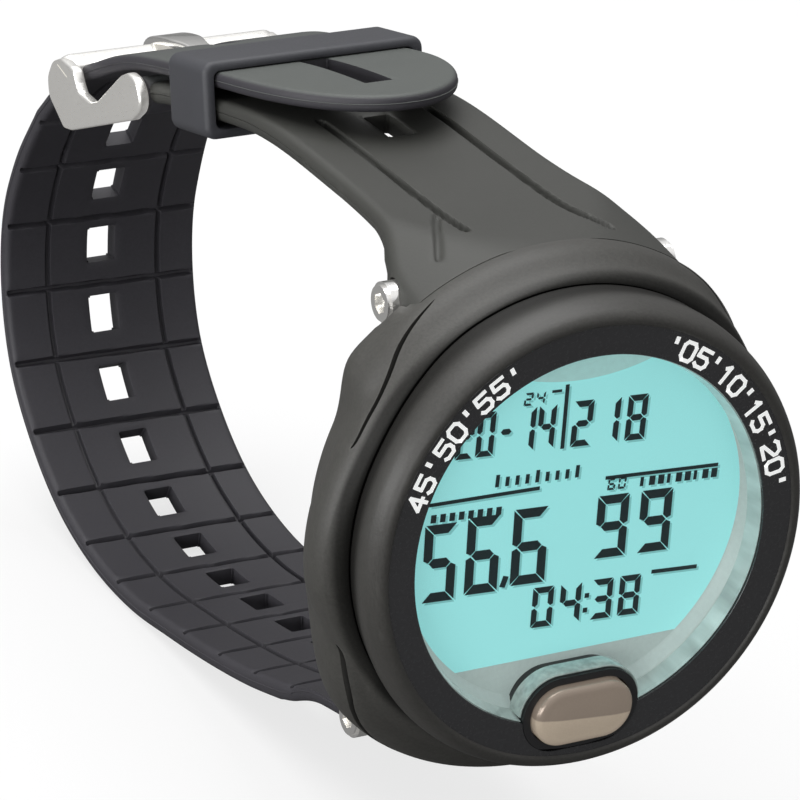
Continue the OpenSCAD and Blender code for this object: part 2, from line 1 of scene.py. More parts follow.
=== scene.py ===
"""A digital wrist watch, its strap buckled into a loop.

Sizes are millimetres; MM turns them into metres where meshes are made. The face looks along
-Y, so a height h towards the viewer of the face is y = -h. +X is the right of the face and +Z
its top, where the upper strap joins. The lower strap joins at -Z, runs back round the wrist
and its free end lies outside the upper strap. Angles on the face run from +X towards +Z.
"""
import math

import bmesh
import bpy
import numpy as np
from mathutils import Matrix, Vector


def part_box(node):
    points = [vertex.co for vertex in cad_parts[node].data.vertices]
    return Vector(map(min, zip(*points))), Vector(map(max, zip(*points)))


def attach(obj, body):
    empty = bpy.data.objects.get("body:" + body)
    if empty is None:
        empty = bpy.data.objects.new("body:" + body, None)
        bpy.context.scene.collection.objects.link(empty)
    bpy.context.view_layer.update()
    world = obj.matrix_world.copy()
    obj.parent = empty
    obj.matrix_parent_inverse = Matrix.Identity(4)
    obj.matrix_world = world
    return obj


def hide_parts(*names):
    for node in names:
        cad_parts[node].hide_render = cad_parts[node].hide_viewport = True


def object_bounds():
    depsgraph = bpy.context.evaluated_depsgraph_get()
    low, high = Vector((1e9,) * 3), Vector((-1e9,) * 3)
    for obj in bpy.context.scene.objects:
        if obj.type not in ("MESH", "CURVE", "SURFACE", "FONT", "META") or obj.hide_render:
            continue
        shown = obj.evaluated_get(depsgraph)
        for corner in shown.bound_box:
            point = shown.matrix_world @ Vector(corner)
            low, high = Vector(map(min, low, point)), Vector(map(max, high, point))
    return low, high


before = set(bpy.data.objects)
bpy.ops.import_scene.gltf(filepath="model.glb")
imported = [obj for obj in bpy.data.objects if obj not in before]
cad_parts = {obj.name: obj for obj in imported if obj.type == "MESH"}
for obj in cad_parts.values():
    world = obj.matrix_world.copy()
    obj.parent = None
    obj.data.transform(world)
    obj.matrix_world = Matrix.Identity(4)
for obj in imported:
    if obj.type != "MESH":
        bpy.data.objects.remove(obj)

MM = 0.001
scene = bpy.context.scene
cad_lo, cad_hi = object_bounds()

# ------------------------------------------------------------------ driving dimensions


def box_mm(name):
    low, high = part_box(name)
    return np.array(low) * 1000, np.array(high) * 1000


def box_centre(name):
    low, high = box_mm(name)
    return (low + high) / 2


RING_HEIGHT = -box_mm("dial_ring")[0][1]      # front of the printed ring
RING_INNER_RADIUS = 22.0
cap_low, cap_high = box_mm("button_cap")
BUTTON_Z = (cap_low[2] + cap_high[2]) / 2
CAP_FOOT, CAP_TOP = -cap_high[1], -cap_low[1]
lcd_low = box_mm("lcd_panel")[0]
LCD_HEIGHT = -lcd_low[1]
LCD_LOWER_EDGE = lcd_low[2]
PIVOT_Y, PIVOT_Z = box_centre("buckle_bar")[1:]
UPPER_LUG = box_centre("upper_lug_bar")
LOWER_LUG = box_centre("lower_lug_bar")

CASE_RADIUS = 28.8
LUG_HALF_WIDTH = 9.1          # the centre lugs, which the strap ends straddle
BAY_HALF_WIDTH = 17.1         # the bays in the case that take the strap ends
STRAP_FRONT_Y = -8.4          # where both straps start, nearest the face
STRAP_HALF_WIDTH = 12.9       # upper strap and free end
LOOP_HALF_WIDTH = 13.7        # lower strap round the wrist
STRAP_PITCH = 9.95            # spacing of the holes and ribs
BUTTON_SPAN = 2.8             # centre line to end arc of the ovals round the button

# ------------------------------------------------------------------ shader helpers


def node(tree, kind, inputs=None, **settings):
    """Add a shader node; inputs maps a socket to its value or to the socket feeding it."""
    new = tree.nodes.new("ShaderNode" + kind)
    for name, value in settings.items():
        setattr(new, name, value)
    for socket, value in (inputs or {}).items():
        if isinstance(value, bpy.types.NodeSocket):
            tree.links.new(value, new.inputs[socket])
        else:
            new.inputs[socket].default_value = value
    return new


def map_range(tree, value, low, high, to_low=0.0, to_high=1.0, **settings):
    sockets = {"Value": value, "From Min": low, "From Max": high,
               "To Min": to_low, "To Max": to_high}
    return node(tree, "MapRange", sockets, **settings).outputs[0]


def maths(tree, operation, *values):
    return node(tree, "Math", dict(enumerate(values)), operation=operation).outputs[0]


def mix_colour(tree, factor, first, second, blend="MIX"):
    sockets = {0: factor, 6: first, 7: second}      # the node's RGBA sockets
    return node(tree, "Mix", sockets, data_type="RGBA", blend_type=blend).outputs[2]


def object_coords(tree):
    return node(tree, "TexCoord").outputs["Object"]


def empty_tree(owner):
    owner.use_nodes = True
    owner.node_tree.nodes.clear()
    return owner.node_tree


def rgba(colour):
    return (*np.clip(colour, 0, 1), 1)


def material(name, colour, rough, metal=0.0, spec=0.5, grain=0.25, bump=0.25, height=0.012,
             vary=0.08, patch=9.0, rough_vary=0.08, coat=0.0, wear=0.0, stretch=(1, 1, 1),
             glow=0.0, glow_colour=None, second_colour=None, shade=0.0):
    """Procedural surface. A fine noise (grain, mm) drives bump and gloss, a larger one
    (patch, mm) the colour; wear lightens edges, shade (mm) paints darker shade into
    crevices and glow paints light as an emission of glow_colour."""
    mat = bpy.data.materials.new(name)
    tree = empty_tree(mat)
    coords = object_coords(tree)
    stretched = node(tree, "Mapping", {0: coords, "Scale": stretch}).outputs[0]
    fine = node(tree, "TexNoise", {"Scale": 1000.0 / grain, "Detail": 3,
                                   "Vector": stretched}).outputs[0]
    patches = node(tree, "TexNoise", {"Scale": 1000.0 / patch, "Detail": 4,
                                      "Vector": coords}).outputs[0]
    base = np.array(colour, float)
    second = second_colour or base * (1 + vary)
    surface = mix_colour(tree, patches, rgba(base * (1 - vary)), rgba(second))
    specks = map_range(tree, fine, 0.3, 0.7, to_low=1 - vary, to_high=1 + vary)
    surface = mix_colour(tree, 1, surface, specks, "MULTIPLY")
    # painted shade: ambient occlusion darkens the colour in crevices
    if shade:
        painted_crevice_shade = node(tree, "AmbientOcclusion", {"Distance": shade * MM}, samples=8)
        painted_crevice_shade = map_range(tree, painted_crevice_shade.outputs["AO"], 0.35, 0.85, to_low=0.25)
        surface = mix_colour(tree, 1, surface, painted_crevice_shade, "MULTIPLY")
    if wear:
        edges = node(tree, "NewGeometry").outputs["Pointiness"]
        edges = map_range(tree, edges, 0.52, 0.62, to_high=wear)
        surface = mix_colour(tree, edges, surface, rgba(base * 2.2 + 0.02))
    gloss = map_range(tree, fine, 0, 1, to_low=max(0.02, rough - rough_vary),
                      to_high=min(1, rough + rough_vary))
    relief = node(tree, "Bump", {"Strength": bump, "Distance": height * MM, "Height": fine})
    sockets = {"Base Color": surface, "Roughness": gloss, "Metallic": metal,
               "Specular IOR Level": spec, "Coat Weight": coat, "Coat Roughness": 0.12,
               "Normal": relief.outputs[0]}
    # glow is painted light: an emission on parts that are no lamp
    if glow:
        sockets["Emission Color"] = rgba(glow_colour)
        sockets["Emission Strength"] = glow
    bsdf = node(tree, "BsdfPrincipled", sockets)
    node(tree, "OutputMaterial", {0: bsdf.outputs[0]})
    return mat


def clear_material(name, tint, spec, rough):
    """Thin clear sheet: transparent, with a Fresnel gloss on front faces only."""
    mat = bpy.data.materials.new(name)
    tree = empty_tree(mat)
    clear = node(tree, "BsdfTransparent", {0: (*tint, 1)})
    noise = node(tree, "TexNoise", {"Scale": 90, "Vector": object_coords(tree)})
    relief = node(tree, "Bump", {"Strength": 0.05, "Distance": 0.00002,
                                 "Height": noise.outputs[0]})
    gloss = node(tree, "BsdfAnisotropic", {"Roughness": rough, "Normal": relief.outputs[0]})
    fresnel = node(tree, "Fresnel", {0: 1.5}).outputs[0]
    facing = maths(tree, "SUBTRACT", 1, node(tree, "NewGeometry").outputs["Backfacing"])
    amount = maths(tree, "MULTIPLY", maths(tree, "MULTIPLY", fresnel, facing), spec)
    mixed = node(tree, "MixShader", {0: amount, 1: clear.outputs[0], 2: gloss.outputs[0]})
    node(tree, "OutputMaterial", {0: mixed.outputs[0]})
    return mat


def open_colour(mat):
    """A material's tree, its main shader and the socket that feeds the base colour."""
    tree = mat.node_tree
    bsdf = next(n for n in tree.nodes if n.type == "BSDF_PRINCIPLED")
    return tree, bsdf, bsdf.inputs["Base Color"].links[0].from_socket


# ------------------------------------------------------------------ materials
# case and bezel: shade=3.0 paints darker shade into their crevices
CASE = material("case_polymer", colour=(0.044, 0.043, 0.039), rough=0.50, spec=0.42,
                grain=0.34, bump=0.8, height=0.03, vary=0.16, wear=0.15, shade=3.0)
BEZEL = material("bezel_polymer", colour=(0.036, 0.035, 0.032), rough=0.46, spec=0.42,
                 grain=0.32, bump=0.8, height=0.03, vary=0.16, wear=0.12, shade=3.0)
BACK = material("back_polymer", colour=(0.03, 0.03, 0.031), rough=0.45, grain=0.3,
                bump=0.4, height=0.015, wear=0.2)
STRAP = material("strap_rubber", colour=(0.034, 0.0325, 0.038), rough=0.56, spec=0.38,
                 grain=0.35, bump=0.4, height=0.018, vary=0.09, patch=14, wear=0.12)
STRAP_UPPER = material("strap_rubber_upper", colour=(0.038, 0.0385, 0.0345), rough=0.54,
                       spec=0.40, grain=0.3, bump=0.45, height=0.02, vary=0.09, patch=14,
                       wear=0.12)
KEEPER = material("keeper_rubber", colour=(0.042, 0.043, 0.049), rough=0.52, spec=0.42,
                  grain=0.3, bump=0.35, height=0.015, wear=0.12)
SEAL = material("seal_rubber", colour=(0.015, 0.015, 0.016), rough=0.5, grain=0.2, bump=0.3)
PRINT = material("ring_print", colour=(0.024, 0.024, 0.0255), rough=0.26, spec=0.5,
                 grain=0.5, bump=0.08, height=0.006, vary=0.1, coat=0.3)
# ring_white glows: painted light that brightens the ring's white print
WHITE = material("ring_white", colour=(0.80, 0.81, 0.80), rough=0.5, grain=0.15, bump=0.1,
                 height=0.005, vary=0.04, glow=0.45, glow_colour=(0.8, 0.81, 0.8))
# reflector_grey, lcd_glass and lcd_shadow glow: painted light on the display, which is no lamp;
# lcd_shadow is the figures' painted shadow
REFLECTOR = material("reflector_grey", colour=(0.38, 0.42, 0.41), rough=0.40, grain=0.5,
                     bump=0.1, height=0.01, vary=0.05, glow=0.62,
                     glow_colour=(0.26, 0.31, 0.30))
LCD = material("lcd_glass", colour=(0.28, 0.60, 0.60), rough=0.35, grain=0.25, bump=0.05,
               height=0.004, vary=0.02, glow=0.65, glow_colour=(0.275, 0.64, 0.645))
SEGMENT = material("lcd_segment", colour=(0.008, 0.022, 0.026), rough=0.4, grain=0.2,
                   bump=0.1, height=0.004, vary=0.1)
SHADOW = material("lcd_shadow", colour=(0.19, 0.46, 0.46), rough=0.4, grain=0.2, bump=0.05,
                  height=0.004, vary=0.03, glow=0.50, glow_colour=(0.20, 0.50, 0.505))
DIFFUSER = material("diffuser_white", colour=(0.72, 0.75, 0.72), rough=0.5, grain=0.4,
                    bump=0.15)
ZEBRA = material("zebra_rubber", colour=(0.55, 0.2, 0.28), rough=0.6, grain=0.15, bump=0.4,
                 stretch=(4, 1, 0.2))
BOARD = material("board_green", colour=(0.02, 0.12, 0.05), rough=0.35, grain=0.6, bump=0.3,
                 coat=0.4, vary=0.2)
CHIP = material("chip_black", colour=(0.015, 0.015, 0.016), rough=0.4, grain=0.15, bump=0.4)
CAN = material("can_metal", colour=(0.62, 0.62, 0.63), rough=0.28, metal=1, grain=0.3,
               bump=0.15, stretch=(1, 1, 6))
BRASS = material("brass_metal", colour=(0.65, 0.46, 0.2), rough=0.3, metal=1, grain=0.3,
                 bump=0.15)
CHASSIS = material("chassis_polymer", colour=(0.5, 0.5, 0.47), rough=0.5, grain=0.35,
                   bump=0.3)
CONTACT = material("contact_metal", colour=(0.75, 0.62, 0.33), rough=0.25, metal=1,
                   grain=0.3, bump=0.12, stretch=(6, 1, 1))
# steel_bright and steel_satin glow: painted light that brightens the steel
BRIGHT = material("steel_bright", colour=(0.86, 0.85, 0.83), rough=0.13, metal=1, grain=0.5,
                  bump=0.1, height=0.004, rough_vary=0.04, vary=0.03, glow=0.10,
                  glow_colour=(0.86, 0.85, 0.82))
SATIN = material("steel_satin", colour=(0.84, 0.83, 0.80), rough=0.30, metal=1, grain=0.10,
                 bump=0.25, height=0.006, stretch=(0.35, 0.1, 1.0), rough_vary=0.08,
                 vary=0.04, wear=0.1, glow=0.25, glow_colour=(0.84, 0.82, 0.78))
# button_bronze glows: painted light on the crown
BRONZE = material("button_bronze", colour=(0.36, 0.305, 0.25), rough=0.22, metal=0.45,
                  grain=0.2, bump=0.1, height=0.005, vary=0.04, glow=0.95,
                  glow_colour=(0.105, 0.085, 0.067))
BUTTON_BLACK = material("button_black", colour=(0.012, 0.012, 0.013), rough=0.35, grain=0.3,
                        bump=0.3)
WIRE = material("spring_wire", colour=(0.68, 0.68, 0.7), rough=0.22, metal=1, grain=0.2,
                bump=0.15)
LENS = clear_material("lens_clear", tint=(0.97, 0.99, 0.985), spec=0.8, rough=0.02)
# lens_edge glows, and its light patches over dark green are painted reflections in the glass edge
LENS_EDGE = material("lens_edge", colour=(0.10, 0.15, 0.135), rough=0.15, grain=0.9,
                     bump=0.05, height=0.006, vary=0.25, patch=3.2, coat=0.6, glow=0.4,
                     glow_colour=(0.15, 0.19, 0.18), second_colour=(0.42, 0.48, 0.46))
# window_wall glows, and its long light streaks are painted reflections on the window's inner wall
WINDOW_WALL = material("window_wall", colour=(0.34, 0.40, 0.385), rough=0.15, grain=2.2,
                       bump=0.1, height=0.01, vary=0.3, patch=5, coat=0.5,
                       stretch=(1, 0.15, 1), glow=0.22, glow_colour=(0.42, 0.50, 0.48))
# display_crescent glows: painted light
CRESCENT = material("display_crescent", colour=(0.30, 0.42, 0.41), rough=0.35, grain=0.8,
                    bump=0.1, height=0.006, vary=0.08, glow=0.7,
                    glow_colour=(0.26, 0.46, 0.45))


def paint_valley_shade(mat, heights, floor, radii=None):
    """Painted shade: scale colour and specular down to floor as height, and radius from the face
    axis, pass from the first to the second value of each pair."""
    tree, bsdf, old = open_colour(mat)
    place = node(tree, "SeparateXYZ", {0: object_coords(tree)}).outputs
    depth = map_range(tree, place["Y"], -heights[0] * MM, -heights[1] * MM,
                      interpolation_type="SMOOTHSTEP")
    if radii:
        flat = node(tree, "CombineXYZ", {0: place["X"], 1: place["Z"]}).outputs[0]
        radius = node(tree, "VectorMath", {0: flat}, operation="LENGTH").outputs["Value"]
        inward = map_range(tree, radius, radii[0] * MM, radii[1] * MM,
                           interpolation_type="SMOOTHSTEP")
        depth = maths(tree, "MULTIPLY", depth, inward)
    scale = map_range(tree, depth, 0, 1, to_low=1, to_high=floor)
    darker = mix_colour(tree, 1, old, scale, "MULTIPLY")
    tree.links.new(darker, bsdf.inputs["Base Color"])
    specular = bsdf.inputs["Specular IOR Level"]
    tree.links.new(maths(tree, "MULTIPLY", scale, specular.default_value), specular)


def paint_strap_top_light():
    """Painted light: lighter, greener rubber where the strap faces +Z, easing in above z = 18 mm.
    """
    tree, bsdf, old = open_colour(STRAP)
    place = node(tree, "SeparateXYZ", {0: object_coords(tree)}).outputs
    normal = node(tree, "NewGeometry").outputs["True Normal"]
    normal = node(tree, "SeparateXYZ", {0: normal}).outputs
    high = map_range(tree, place["Z"], 18 * MM, 28 * MM)
    facing_up = map_range(tree, normal["Z"], 0.55, 0.95)
    amount = maths(tree, "MULTIPLY", high, facing_up)
    lighter = mix_colour(tree, 1, old, (2.2, 2.5, 2.0, 1), "MULTIPLY")
    tree.links.new(mix_colour(tree, amount, old, lighter), bsdf.inputs["Base Color"])


def paint_button_reflection():
    """Painted reflection: the crown is darker above a crisp, slightly tilted line and lighter
    below it.
    """
    tree, bsdf, old = open_colour(BRONZE)
    place = node(tree, "SeparateXYZ", {0: object_coords(tree)}).outputs
    line_tilt = 0.09
    level = maths(tree, "MULTIPLY_ADD", place["X"], line_tilt, place["Z"])
    above = map_range(tree, level, (BUTTON_Z - 0.30) * MM, (BUTTON_Z - 0.15) * MM)
    scale = mix_colour(tree, above, (1.62, 1.60, 1.50, 1), (0.62, 0.60, 0.60, 1))
    split = mix_colour(tree, 1, old, scale, "MULTIPLY")
    tree.links.new(split, bsdf.inputs["Base Color"])


# painted shade in the valley between the case's ledge and the bezel, and down the bezel's foot
paint_valley_shade(CASE, heights=(12.9, 13.8), radii=(28.7, 27.6), floor=0.34)
paint_valley_shade(BEZEL, heights=(19.4, 16.0), floor=0.35)
paint_strap_top_light()
paint_button_reflection()

# ------------------------------------------------------------------ CAD pieces
PIECES_BY_MATERIAL = (
    (LENS, "lens"),
    (PRINT, "dial_ring"),
    (SEAL, "lens_gasket sensor_oring case_back_gasket battery_oring button_oring"),
    (REFLECTOR, "display_frame"),
    (LCD, "lcd_panel"),
    (DIFFUSER, "backlight_panel"),
    (ZEBRA, "zebra_connectors"),
    (BOARD, "circuit_board"),
    (CHIP, "board_chips"),
    (CAN, "crystal pressure_sensor tact_switch coin_cell"),
    (BRASS, "buzzer"),
    (CHASSIS, "chassis"),
    (CONTACT, "battery_contact_negative battery_contact_positive wet_contacts"),
    (BACK, "case_back battery_cover"),
    (BRIGHT, "case_back_screws button_stem button_clip upper_bar_screws lower_bar_screws"),
    (BRONZE, "button_cap"),
    (BUTTON_BLACK, "button_guide"),
    (WIRE, "button_spring"),
    (CASE, "case_body"),
    (BEZEL, "bezel_ring"),
    (STRAP_UPPER, "upper_strap"),
    (STRAP, "lower_strap"),
    (SATIN, "upper_lug_bar lower_lug_bar buckle_frame buckle_bar buckle_tongue"),
    (KEEPER, "keeper"))
PIECE_MATERIAL = {piece: mat for mat, pieces in PIECES_BY_MATERIAL for piece in pieces.split()}
BEVEL_WIDTH = {
    "case_back": 0.12, "battery_cover": 0.12, "case_back_screws": 0.06,
    "upper_bar_screws": 0.12, "lower_bar_screws": 0.12, "wet_contacts": 0.08,
    "coin_cell": 0.15, "chassis": 0.12, "board_chips": 0.06, "tact_switch": 0.06,
    "pressure_sensor": 0.1, "buzzer": 0.1, "buckle_bar": 0.12, "button_guide": 0.06,
    "circuit_board": 0.05, "crystal": 0.1, "dial_ring": 0.03}

for piece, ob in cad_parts.items():
    mat = PIECE_MATERIAL[piece]
    if not ob.data.materials:
        ob.data.materials.append(mat)
    for material_slot in ob.material_slots:
        material_slot.material = mat
    if piece in BEVEL_WIDTH:
        bevel = ob.modifiers.new("round_edges", "BEVEL")
        bevel.width = BEVEL_WIDTH[piece] * MM
        bevel.segments = 2
        bevel.limit_method = "ANGLE"
        bevel.angle_limit = math.radians(40)
        bevel.harden_normals = False

# ------------------------------------------------------------------ mesh helpers
# A shape is a pair (vertices in mm, faces).


def add_object(name, data):
    ob = bpy.data.objects.new(name, data)
    scene.collection.objects.link(ob)
    return ob


def make_mesh(name, shape, weld=None):
    """Mesh in metres with its normals outwards; weld is the merge distance in metres."""
    vertices, faces = shape
    me = bpy.data.meshes.new(name)
    me.from_pydata((np.asarray(vertices, float) * MM).tolist(), [], faces)
    bm = bmesh.new()
    bm.from_mesh(me)
    if weld:
        bmesh.ops.remove_doubles(bm, verts=bm.verts, dist=weld)
        bmesh.ops.dissolve_degenerate(bm, dist=1e-8, edges=bm.edges)
    bmesh.ops.recalc_face_normals(bm, faces=bm.faces)
    bm.to_mesh(me)
    bm.free()
    return me


def shade(me, angle):
    me.shade_smooth()
    me.set_sharp_from_angle(angle=math.radians(angle))


def solid(name, shape, mat, replaces=(), body="watch", angle=40, weld=1e-7):
    """Finished object; edges sharper than angle (degrees) stay crisp."""
    me = make_mesh(name, shape, weld)
    shade(me, angle)
    ob = add_object(name, me)
    me.materials.append(mat)
    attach(ob, body)
    if replaces:
        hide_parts(*replaces)
    return ob


def cutter(shape):
    return add_object("cut", make_mesh("cut", shape))


def carve(ob, cutters, angle=40):
    """Subtract the cutters from an object for good and remove them."""
    mat = ob.data.materials[0]
    for tool in cutters:
        mod = ob.modifiers.new("carve", "BOOLEAN")
        mod.object = tool
        mod.operation = "DIFFERENCE"
        mod.solver = "EXACT"
    bpy.context.view_layer.update()
    depsgraph = bpy.context.evaluated_depsgraph_get()
    me = bpy.data.meshes.new_from_object(ob.evaluated_get(depsgraph))
    ob.modifiers.clear()
    me.name = ob.data.name + "_carved"
    ob.data = me
    for tool in cutters:
        bpy.data.objects.remove(tool)
    me.materials.clear()
    me.materials.append(mat)
    for face in me.polygons:
        face.material_index = 0
    shade(me, angle)


def loft(rings, loop=False):
    """Shape through equal-length point rings: closed on itself, or capped at both ends."""
    n, m = len(rings[0]), len(rings)
    faces = []
    for i in range(m if loop else m - 1):
        a, b = i * n, ((i + 1) % m) * n
        for k in range(n):
            k2 = (k + 1) % n
            faces.append((a + k, a + k2, b + k2, b + k))
    if not loop:
        faces.append(tuple(range(n - 1, -1, -1)))
        faces.append(tuple(range((m - 1) * n, m * n)))
    return np.concatenate(rings), faces


def join(shapes):
    vertices, faces = [], []
    for points, polygons in shapes:
        start = len(vertices)
        vertices += [tuple(p) for p in points]
        faces += [tuple(start + i for i in polygon) for polygon in polygons]
    return vertices, faces


def sweep_face(profile_at, segments):
    """Carry a closed (radius, height) profile round the face axis; it may vary by angle."""
    rings = []
    for k in range(segments):
        a = 2 * math.pi * k / segments
        rings.append([(r * math.cos(a), -h, r * math.sin(a)) for r, h in profile_at(a)])
    return loft(rings, loop=True)


def pivot_tube(profile, segments):
    """Closed (x, radius) profile turned about the buckle's pivot."""
    angles = [2 * math.pi * k / segments for k in range(segments)]
    return loft([[(x, PIVOT_Y + r * math.cos(a), PIVOT_Z + r * math.sin(a)) for x, r in profile]
                 for a in angles], loop=True)


def catmull_rom(points, steps):
    """Smooth curve through the points, with so many steps between each two."""
    P = [np.array(p, float) for p in points]
    P = [2 * P[0] - P[1]] + P + [2 * P[-1] - P[-2]]
    curve = []
    for a, b, c, d in zip(P, P[1:], P[2:], P[3:]):
        for k in range(steps):
            t = k / steps
            curve.append(0.5 * (2 * b + (c - a) * t + (2 * a - 5 * b + 4 * c - d) * t * t
                                + (3 * b - a - 3 * c + d) * t ** 3))
    curve.append(P[-2])
    return np.array(curve)


def rounded(points, radii, steps):
    """Polygon with its corners turned into arcs; radii is one radius or one per corner."""
    P = [np.array(p, float) for p in points]
    m = len(P)
    radii = radii if hasattr(radii, "__len__") else [radii] * m
    outline = []
    for i in range(m):
        corner = P[i]
        u, v = P[i - 1] - corner, P[(i + 1) % m] - corner
        length_u, length_v = np.linalg.norm(u), np.linalg.norm(v)
        u, v = u / length_u, v / length_v
        angle = math.acos(max(-1, min(1, float(u @ v))))
        if radii[i] <= 0 or angle > 3.1:
            outline.append(corner)
            continue
        reach = min(radii[i] / math.tan(angle / 2), 0.48 * length_u, 0.48 * length_v)
        r = reach * math.tan(angle / 2)
        start, end = corner + u * reach, corner + v * reach
        bisector = (u + v) / np.linalg.norm(u + v)
        centre = corner + bisector * (r / math.sin(angle / 2))
        a0 = math.atan2(*(start - centre)[::-1])
        a1 = math.atan2(*(end - centre)[::-1])
        turn_by = (a1 - a0 + math.pi) % (2 * math.pi) - math.pi
        for k in range(steps + 1):
            t = a0 + turn_by * k / steps
            outline.append(centre + r * np.array([math.cos(t), math.sin(t)]))
    return np.array(outline)


def inset(outline, distance):
    """Closed outline moved inwards a small distance (outwards if negative)."""
    P = np.asarray(outline, float)
    after = np.roll(P, -1, 0)
    area = 0.5 * np.sum(P[:, 0] * after[:, 1] - after[:, 0] * P[:, 1])
    sign = 1 if area > 0 else -1
    edge = after - P
    length = np.linalg.norm(edge, axis=1)
    length[length < 1e-9] = 1e-9
    normal = sign * np.stack([-edge[:, 1], edge[:, 0]], 1) / length[:, None]
    mitre = normal + np.roll(normal, 1, 0)
    mitre /= np.maximum(np.linalg.norm(mitre, axis=1), 1e-9)[:, None]
    stretch = 1 / np.maximum(np.sum(mitre * normal, 1), 0.45)
    return P + mitre * (stretch * distance)[:, None]


def plate(outline, levels, place):
    """Shape from an outline and (level, inset) pairs; place maps (u, v, level) to a point."""
    return loft([[place(u, v, level) for u, v in inset(outline, distance)]
                 for level, distance in levels])


def pillow(low, high, radius, steps):
    """Levels for a plate from low to high with both rims rounded."""
    arc = [math.pi / 2 * k / steps for k in range(steps + 1)]
    arc = [(radius * (1 - math.cos(a)), radius * (1 - math.sin(a))) for a in arc]
    return [(low + t, d) for t, d in arc] + [(high - t, d) for t, d in reversed(arc)]


def on_face(u, v, height):
    return u, -height, v


def at_button(u, v, height):
    return u, -height, BUTTON_Z + v


def oval(radius, span):
    """Two half circles whose centres stand span either side of the middle."""
    a = np.linspace(-math.pi / 2, math.pi / 2, 28)
    right = np.stack([span + radius * np.cos(a), radius * np.sin(a)], 1)
    return np.concatenate([right, -right])


def rod_cut(radius, x0, x1, y, z):
    angles = [2 * math.pi * k / 48 for k in range(48)]
    return cutter(loft([[(x, y + radius * math.cos(a), z + radius * math.sin(a))
                         for a in angles] for x in (x0, x1)]))


def box_cut(x0, x1, y0, y1, z0, z1):
    vertices = [(x, y, z) for x in (x0, x1) for y in (y0, y1) for z in (z0, z1)]
    faces = [(0, 1, 3, 2), (4, 6, 7, 5), (0, 4, 5, 1), (2, 3, 7, 6), (0, 2, 6, 4), (1, 5, 7, 3)]
    return cutter((vertices, faces))


def button_cut(radius, low, high):
    return cutter(plate(oval(radius, BUTTON_SPAN), [(low, 0), (high, 0)], at_button))


def smoothstep(a, b, x):
    t = np.clip((x - a) / (b - a), 0, 1)
    return t * t * (3 - 2 * t)


def smooth_min(a, b, k):
    h = np.clip(0.5 + 0.5 * (b - a) / k, 0, 1)
    return b * (1 - h) + a * h - k * h * (1 - h)


def smooth_max(a, b, k):
    return -smooth_min(-a, -b, k)


def lookup(x, table, period=None):
    """Value at x from a table of (position, value) rows."""
    positions, values = zip(*table)
    return np.interp(x, positions, values, period=period)


def eased(x, table, offsets, period=None):
    """Table value averaged over a few offsets, which rounds off its corners."""
    return sum(lookup(x + o, table, period) for o in offsets) / len(offsets)


# ------------------------------------------------------------------ face rims
# The face's rims sit a little off round: radius offsets at angles (degrees).
RIM_ANGLES = [-160, -145, -130, -110, -90, -75, -60, -40, -25, -10, 5, 20,
              35, 50, 65, 80, 95, 110, 125, 140, 155, 170, 185]
OUTER_RIM = list(zip(RIM_ANGLES, [
    -0.3, 0.0, 0.25, 0.65, 0.85, 1.1, 1.3, 1.05, 0.6, 0.05, -0.35, -0.8,
    -1.05, -1.0, -0.8, -0.45, -0.05, 0.25, 0.25, 0.15, 0.0, -0.2, -0.3]))
INNER_RIM = list(zip(RIM_ANGLES, [
    0.08, 0.2, 0.35, 0.45, 0.5, 0.55, 0.62, 0.6, 0.45, 0.05, -0.5, -0.95,
    -1.0, -0.9, -0.75, -0.35, 0.05, 0.35, 0.45, 0.45, 0.3, 0.1, 0.05]))
# (angle, offset) of the bezel's narrow foot, on top of the outer rim's
WAIST = [(-140, -0.55), (-125, -0.2), (-100, 0), (-80, 0), (-55, -0.2), (-40, -0.55),
         (0, -0.85), (30, -1.0), (44, -0.6), (56, 0), (124, 0), (136, -0.6), (150, -1.1),
         (180, -0.85), (200, -0.7)]


def rim_offset(angle, table):
    return eased(math.degrees(angle), table, range(-12, 13, 4), period=360)


def waist_radius(angle):
    """Radius of the bezel's foot, where it meets the case."""
    ripple = eased(math.degrees(angle), WAIST, (-6, -3, 0, 3, 6), period=360)
    return 27.45 + rim_offset(angle, OUTER_RIM) + ripple


# ------------------------------------------------------------------ case body
# (height, radius) of the round case, back to front
CASE_SIDE = [(0.4, 20.9), (0.8, 22.4), (4.0, 25.4), (7.2, 27.4), (9.2, 28.5), (10.6, 28.8),
             (11.8, 28.8), (12.6, 28.65), (13.5, 28.3), (14.4, 27.9), (15.1, 27.55)]
# (degrees from the X axis, radius) of the widest outline, lower and upper half
OUTLINE_LOWER = [(0, CASE_RADIUS - 0.3), (10, CASE_RADIUS - 0.2), (18, 28.9), (24, 29.5),
                 (33, 31.0), (38, 32.0), (43, 32.6), (55, 33.0), (75, 33.2), (90, 33.3)]
OUTLINE_UPPER = [(0, CASE_RADIUS - 0.3), (12, CASE_RADIUS - 0.3), (25, CASE_RADIUS - 0.2),
                 (38, 29.0), (45, 29.6), (52, 30.0), (90, 30.0)]
# (height, how far the side stands in from that outline)
DROP_LOWER = [(0.4, 13), (2, 6.2), (3.2, 3.6), (5, 1.3), (6.6, 0.55), (8, 0.15), (9.4, 0),
              (10.6, 0.12), (11.6, 0.6), (12.4, 1.2), (13.1, 2.1), (13.8, 3.6), (14.4, 5.3),
              (15, 7.5)]
DROP_UPPER = [(0.4, 11), (2, 5), (3.2, 2.6), (5, 0.9), (6.6, 0.4), (8, 0.1), (9.4, 0),
              (10.6, 0.2), (11.6, 0.7), (12.4, 1.3), (13.1, 1.9), (13.8, 2.6), (14.4, 3.4),
              (15, 5)]
